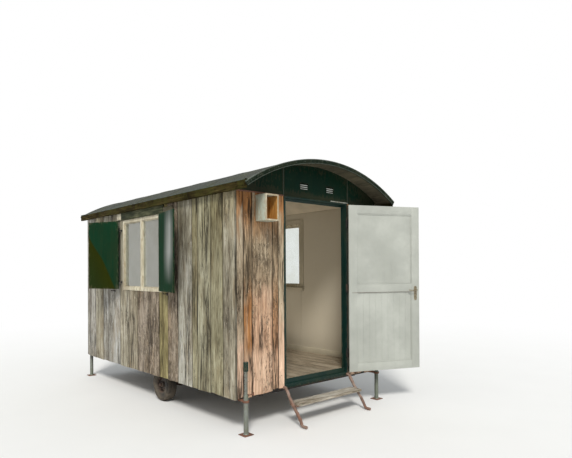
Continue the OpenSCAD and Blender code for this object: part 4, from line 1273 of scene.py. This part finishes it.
def step():
    y1, y2 = -0.032, -0.292
    tread_y = y1 + (y2 - y1) * (RAIL_TOP - 0.202) / RAIL_TOP
    b = Build("rail_steel", "nails")
    for x in (STEP_X0, STEP_X1):
        pts = [(x, 0.0, RAIL_TOP), (x, y1 * 0.5, RAIL_TOP), (x, y1 * 0.85, RAIL_TOP - 0.003),
               (x, y1 - 0.006, RAIL_TOP - 0.014)]
        for k in range(1, 18):
            t = 0.06 + 0.94 * k / 18
            bend = 0.007 * sin(t * pi * 2) + 0.004 * wave(x * 7, k * 0.9, 1.5)
            shift = 0.005 * wave(x * 5, k * 0.7, 6.5)
            pts.append((x + shift, y1 + (y2 - y1) * t + bend, max(RAIL_TOP * (1 - t), RAIL_R)))
        pts += [(x, y2 - 0.024, RAIL_R), (x, y2 - 0.050, RAIL_R * 0.97)]
        rs = [RAIL_R * (1 + 0.24 * wave(x * 9, k * 0.9, 2.5)) for k in range(len(pts))]
        rs[-4:] = [min(r, RAIL_R * 0.97) for r in rs[-4:]]
        b.tube(pts, rs)
    z0 = TREAD_Z - 0.006
    for x in (STEP_X0, STEP_X1 - 0.045):
        b.box((x, tread_y - 0.06, z0), (x + 0.045, tread_y + 0.06, TREAD_Z), 0.0015)
    b.box((STEP_X0, tread_y - 0.018, z0), (STEP_X1, tread_y + 0.018, TREAD_Z), 0.0015)
    b.done("step_rails_bent", "hut", ("step_rails",), 40)
    b = Build("tread_wood", "nails")
    b.plank((STEP_X0 + 0.018, tread_y - TREAD_D / 2, TREAD_Z), Y, X, Z, TREAD_D, STEP_X1 - STEP_X0 - 0.036,
            TREAD_T, 301.7, wane=0.003, warp=0.002, edge=0.004, step=0.05, ends=(0.004, -0.006), rag=0.003)
    for x in (STEP_X0 + 0.033, STEP_X1 - 0.033):
        for y in (-0.04, 0.04):
            b.dome((x, tread_y + y, TREAD_Z + TREAD_T + 0.0005), Z, 0.007, 0.003, 12, mat=1)
    b.done("step_plank", "hut", ("step_tread",))


wall_box()
step()

# Props: a sleeve with a clamp screw on a foot plate, and a tube that slides in it
SLEEVE_R = 0.024
TUBE_R = 0.017
PROP_TOP = 0.712
CLAMP_Z0, CLAMP_Z1 = 0.316, 0.338


def prop(side, end):
    b = Build("prop_steel", "rusty_steel", "green_wood", "dark_steel")
    o, top, c0, c1 = (0, 0, 0), PROP_TOP, CLAMP_Z0, CLAMP_Z1
    b.box((-0.055, -0.055, 0), (0.055, 0.055, 0.008), mat=1)
    b.lathe([(0.0185, 0.008), (0.030, 0.008), (0.026, 0.014), (SLEEVE_R, 0.02), (SLEEVE_R, c0 + 0.078),
             (0.0225, c0 + 0.080), (0.0185, c0 + 0.080)], o, Z, 28)
    b.tube([(0, 0, 0.02), (0, 0, top - 0.004), (0, 0, top - 0.0005)], [TUBE_R, TUBE_R, 0.014], 24)
    for z in [c0 + 0.11 + 0.035 * k for k in range(6)]:
        for s in (-1, 1):
            b.dome((s * 0.0165, 0, z), X * s, 0.0045, 0.0012, 10, mat=3)
    b.lathe([(TUBE_R, top - 0.092), (0.0245, top - 0.092), (0.026, top - 0.088), (0.026, top - 0.006),
             (0.023, top - 0.001), (TUBE_R - 0.002, top - 0.001)], o, Z, 28, mat=2)
    b.lathe([(SLEEVE_R, c0), (0.032, c0), (0.033, c0 + 0.003), (0.033, c1 - 0.003), (0.032, c1),
             (SLEEVE_R, c1)], o, Z, 28, mat=1)
    b.box((-0.014, 0.012, c0), (0.014, 0.12, c1), mat=1)
    start = Vector((0, 0, c0 + 0.066))
    d = Vector((0.771, -0.602, 0.208)).normalized()
    head = start + d * 0.078
    b.tube([start + d * 0.015, head], 0.0055, 14, mat=1)
    b.tube([head - Z * 0.018, head + Z * 0.018], 0.0045, 12, mat=1)
    knob = [(0.008, 0.020), (0.013, 0.020), (0.014, 0.022), (0.014, 0.030), (0.008, 0.032)]
    b.lathe(knob, start, d, 6, mat=1)
    m = HUT
    if end == "rear":
        m = m @ Matrix.Translation((0, L, 0)) @ Matrix.Scale(-1, 4, Y)
    m = m @ Matrix.Scale(-SIDES[side], 4, X) @ Matrix.Translation((-1.02, -0.06, 0))
    node = f"{end}_{side}_prop"
    b.done(node + "_stand", "hut", (node,), 40, m)


for side in SIDES:
    for end in ("front", "rear"):
        prop(side, end)


# Chassis with its bolts, axle with the clamps that hold it, and wheels
CLAMP_X = 0.73
BOLT_X, BOLT_Z = 0.7552, 0.36
WHEEL_X = 0.935
WHEEL_Z = 0.2
TREAD_BLOCKS = 64


def chassis_extra(b):
    for sg in SIDES.values():
        for y in (AXLE_Y - 0.42, AXLE_Y + 0.42, 0.06, L - 0.11):
            for dy in (0.012, 0.038):
                b.dome((sg * BOLT_X, y + dy, BOLT_Z), X * sg, 0.008, 0.004, 6)


def axle_extra(b):
    for sg in SIDES.values():
        x = sg * CLAMP_X
        for y in (AXLE_Y - 0.04, AXLE_Y + 0.04):
            b.tube([(x, y, 0.155), (x, y, 0.305)], 0.006, 10)
            b.lathe([(0.004, 0.0), (0.011, 0.0), (0.011, 0.009), (0.004, 0.009)], (x, y, 0.159), Z, 6)
        b.box((x - 0.03, AXLE_Y - 0.055, 0.162), (x + 0.03, AXLE_Y + 0.055, 0.170), 0.001, 1)


bevel_copy("chassis", "chassis_beams", "dark_steel", 0.0015, 1, extra=chassis_extra)
bevel_copy("axle", "axle_beam", "rusty_steel", 0.0015, 1, mats=["dark_rust"], extra=axle_extra)

TYRE = mirrored([(0.1062, -0.050), (0.1075, -0.058), (0.118, -0.0635), (0.140, -0.065), (0.165, -0.064),
                 (0.183, -0.059), (0.193, -0.050), (0.1965, -0.040), (0.1975, -0.026), (0.1925, -0.0255),
                 (0.1925, -0.0185), (0.1985, -0.018), (0.1990, -0.005), (0.1940, -0.0045)])
RIM = mirrored([(0.0955, -0.038), (0.098, -0.050), (0.1058, -0.052), (0.106, -0.046), (0.1015, -0.040),
                (0.099, -0.010)])
DISC = [(0.0975, 0.006), (0.085, 0.008), (0.074, 0.016), (0.060, 0.019), (0.045, 0.014), (0.034, 0.013),
        (0.034, 0.008), (0.046, 0.008), (0.060, 0.012), (0.073, 0.010), (0.084, 0.003), (0.0975, 0.001)]
HUB = [(0.01505, -0.050), (0.030, -0.050), (0.034, -0.046), (0.034, 0.036), (0.030, 0.046), (0.024, 0.050),
       (0.01505, 0.050)]


def wheel(side):
    sg = SIDES[side]
    c = Vector((sg * WHEEL_X, AXLE_Y, WHEEL_Z))
    out = X * sg
    b = Build("tyre")
    b.lathe(TYRE, c, out, 96)
    for ring in (0.125, 0.172):
        for s in (-1, 1):
            b.lathe([(ring - 0.0015, s * 0.0625), (ring - 0.0008, s * 0.0658), (ring + 0.0008, s * 0.0658),
                     (ring + 0.0015, s * 0.0625)], c, out, 96)
    for t in turns(TREAD_BLOCKS):
        for s in (-1, 1):
            m = Matrix.Translation(c) @ Matrix.Rotation(t, 4, "X")
            m = m @ Matrix.Translation((s * 0.046, 0, 0.1925)) @ Matrix.Rotation(s * 0.45, 4, "Y")
            b.box((-0.010, -0.0062, -0.005), (0.008, 0.0062, 0.0045), 0.0012, 1, m=m)
    b.done(side + "_tyre_tread", side + "_wheel", (side + "_tyre",), 40)
    b = Build("wheel_steel", "dark_steel")
    b.lathe(RIM, c, out, 64)
    b.lathe(DISC, c, out, 64)
    b.lathe(HUB, c, out, 48)
    nut = [(0.001, 0.0), (0.009, 0.0), (0.009, 0.008), (0.006, 0.010), (0.001, 0.010)]
    for t in turns(5):
        t += 0.12 * pi
        p = c + (Y * cos(t) + Z * sin(t)) * 0.058 + out * 0.017
        b.lathe(nut, p, out, 6, mat=1)
        b.dome(p + out * 0.010, out, 0.004, 0.003, mat=1)
    for p in circle(c, Y, Z, 0.080, 10):
        b.dome(p + out * 0.0125, out, 0.0065, 0.0012, 12, mat=1)
    b.done(side + "_rim_disc", side + "_wheel", (side + "_rim",), 40)


for side in SIDES:
    wheel(side)


STAGE_R = 60
FADE_R = 20.0


def make_stage():
    """A pale floor that fades to white with distance."""
    s = Shader("stage", rough=0.9, spec=0.1)
    d = s.node("ShaderNodeVectorMath", {0: s.pos}, operation="LENGTH").outputs["Value"]
    far = s.ramp(s.math("DIVIDE", d, FADE_R), [(0.16, 0.0), (0.55, 1.0)], "EASE")
    s.put(s.bsdf.inputs["Base Color"], s.mix(s.noise(1.5, None, 3), (0.85, 0.85, 0.84), (0.82, 0.82, 0.81)))
    white = s.node("ShaderNodeEmission", {"Color": (1, 1, 1), "Strength": 1.0})
    m = s.node("ShaderNodeMixShader", {0: far, 1: s.bsdf.outputs[0], 2: white.outputs[0]})
    s.put(s.tree.nodes["Material Output"].inputs["Surface"], m.outputs[0])
    bm = bmesh.new()
    bmesh.ops.create_circle(bm, cap_ends=True, radius=STAGE_R, segments=96)
    me = bpy.data.meshes.new("stage_floor")
    bm.to_mesh(me)
    bm.free()
    me.materials.append(s.mat)
    o = bpy.data.objects.new("stage_floor", me)
    o.location.z = -0.0005
    bpy.context.scene.collection.objects.link(o)


make_stage()

# Camera: its place from the hut's front, and its direction, as fitted to the edges in the photo
CAMERA = (HX - 4.037, HY - 3.993, 1.60)
yaw, pitch, roll = radians(-42.09), radians(0.112), radians(-0.32)
right = Vector((cos(yaw), sin(yaw), 0))
fwd = Vector((-sin(yaw) * cos(pitch), cos(yaw) * cos(pitch), sin(pitch)))
up = right.cross(fwd)
cam_right = right * cos(roll) + up * sin(roll)
cam_up = up * cos(roll) - right * sin(roll)
cam = bpy.data.cameras.new("camera")
cam.lens = 31.89
cam.sensor_width = 36
cam.shift_y = 0.071
cam.clip_end = 200
cam_o = bpy.data.objects.new("camera", cam)
cam_o.matrix_world = Matrix.Translation(CAMERA) @ Matrix((cam_right, cam_up, -fwd)).transposed().to_4x4()
bpy.context.scene.collection.objects.link(cam_o)
bpy.context.scene.camera = cam_o


def light(name, kind, energy, place, aim, size, color):
    """A sun with size as its angle, or a square lamp with size as its side."""
    d = bpy.data.lights.new(name, kind)
    d.energy = energy
    d.color = color
    setattr(d, "angle" if kind == "SUN" else "size", size)
    o = bpy.data.objects.new(name, d)
    o.location = place
    o.rotation_euler = (Vector(aim) - Vector(place)).to_track_quat("-Z", "Y").to_euler()
    o.visible_camera = False
    bpy.context.scene.collection.objects.link(o)


light("sun", "SUN", 2.5, (-6, -7, 9), (0, 0, 0), radians(14), (1.0, 0.97, 0.92))
light("room", "AREA", 2, (HX, HY + 1.9, 2.55), (HX, HY + 1.9, 0), 1.6, (1.0, 0.95, 0.86))
light("room_bounce", "AREA", 7.5, (HX, HY + 1.5, 0.55), (HX, HY + 1.5, 3), 1.4, (1.0, 0.93, 0.82))

# World: soft daylight on the hut, and white where the sky itself is seen, mirrored or seen through glass
world = bpy.data.worlds.new("world")
bpy.context.scene.world = world
world.use_nodes = True
sky = Nodes(world.node_tree)
ray = sky.node("ShaderNodeLightPath").outputs
seen = sky.most(sky.most(ray["Is Camera Ray"], ray["Is Glossy Ray"]), ray["Is Transmission Ray"])
ambient = sky.tree.nodes["Background"]
sky.put(ambient.inputs["Color"], (0.93, 0.97, 1.0))
sky.put(ambient.inputs["Strength"], 0.62)
shown = sky.node("ShaderNodeBackground", {"Color": (1, 1, 1), "Strength": 1.0})
both = sky.node("ShaderNodeMixShader", {0: seen, 1: ambient.outputs[0], 2: shown.outputs[0]})
sky.put(sky.tree.nodes["World Output"].inputs["Surface"], both.outputs[0])

bpy.context.scene.view_settings.view_transform = "Standard"
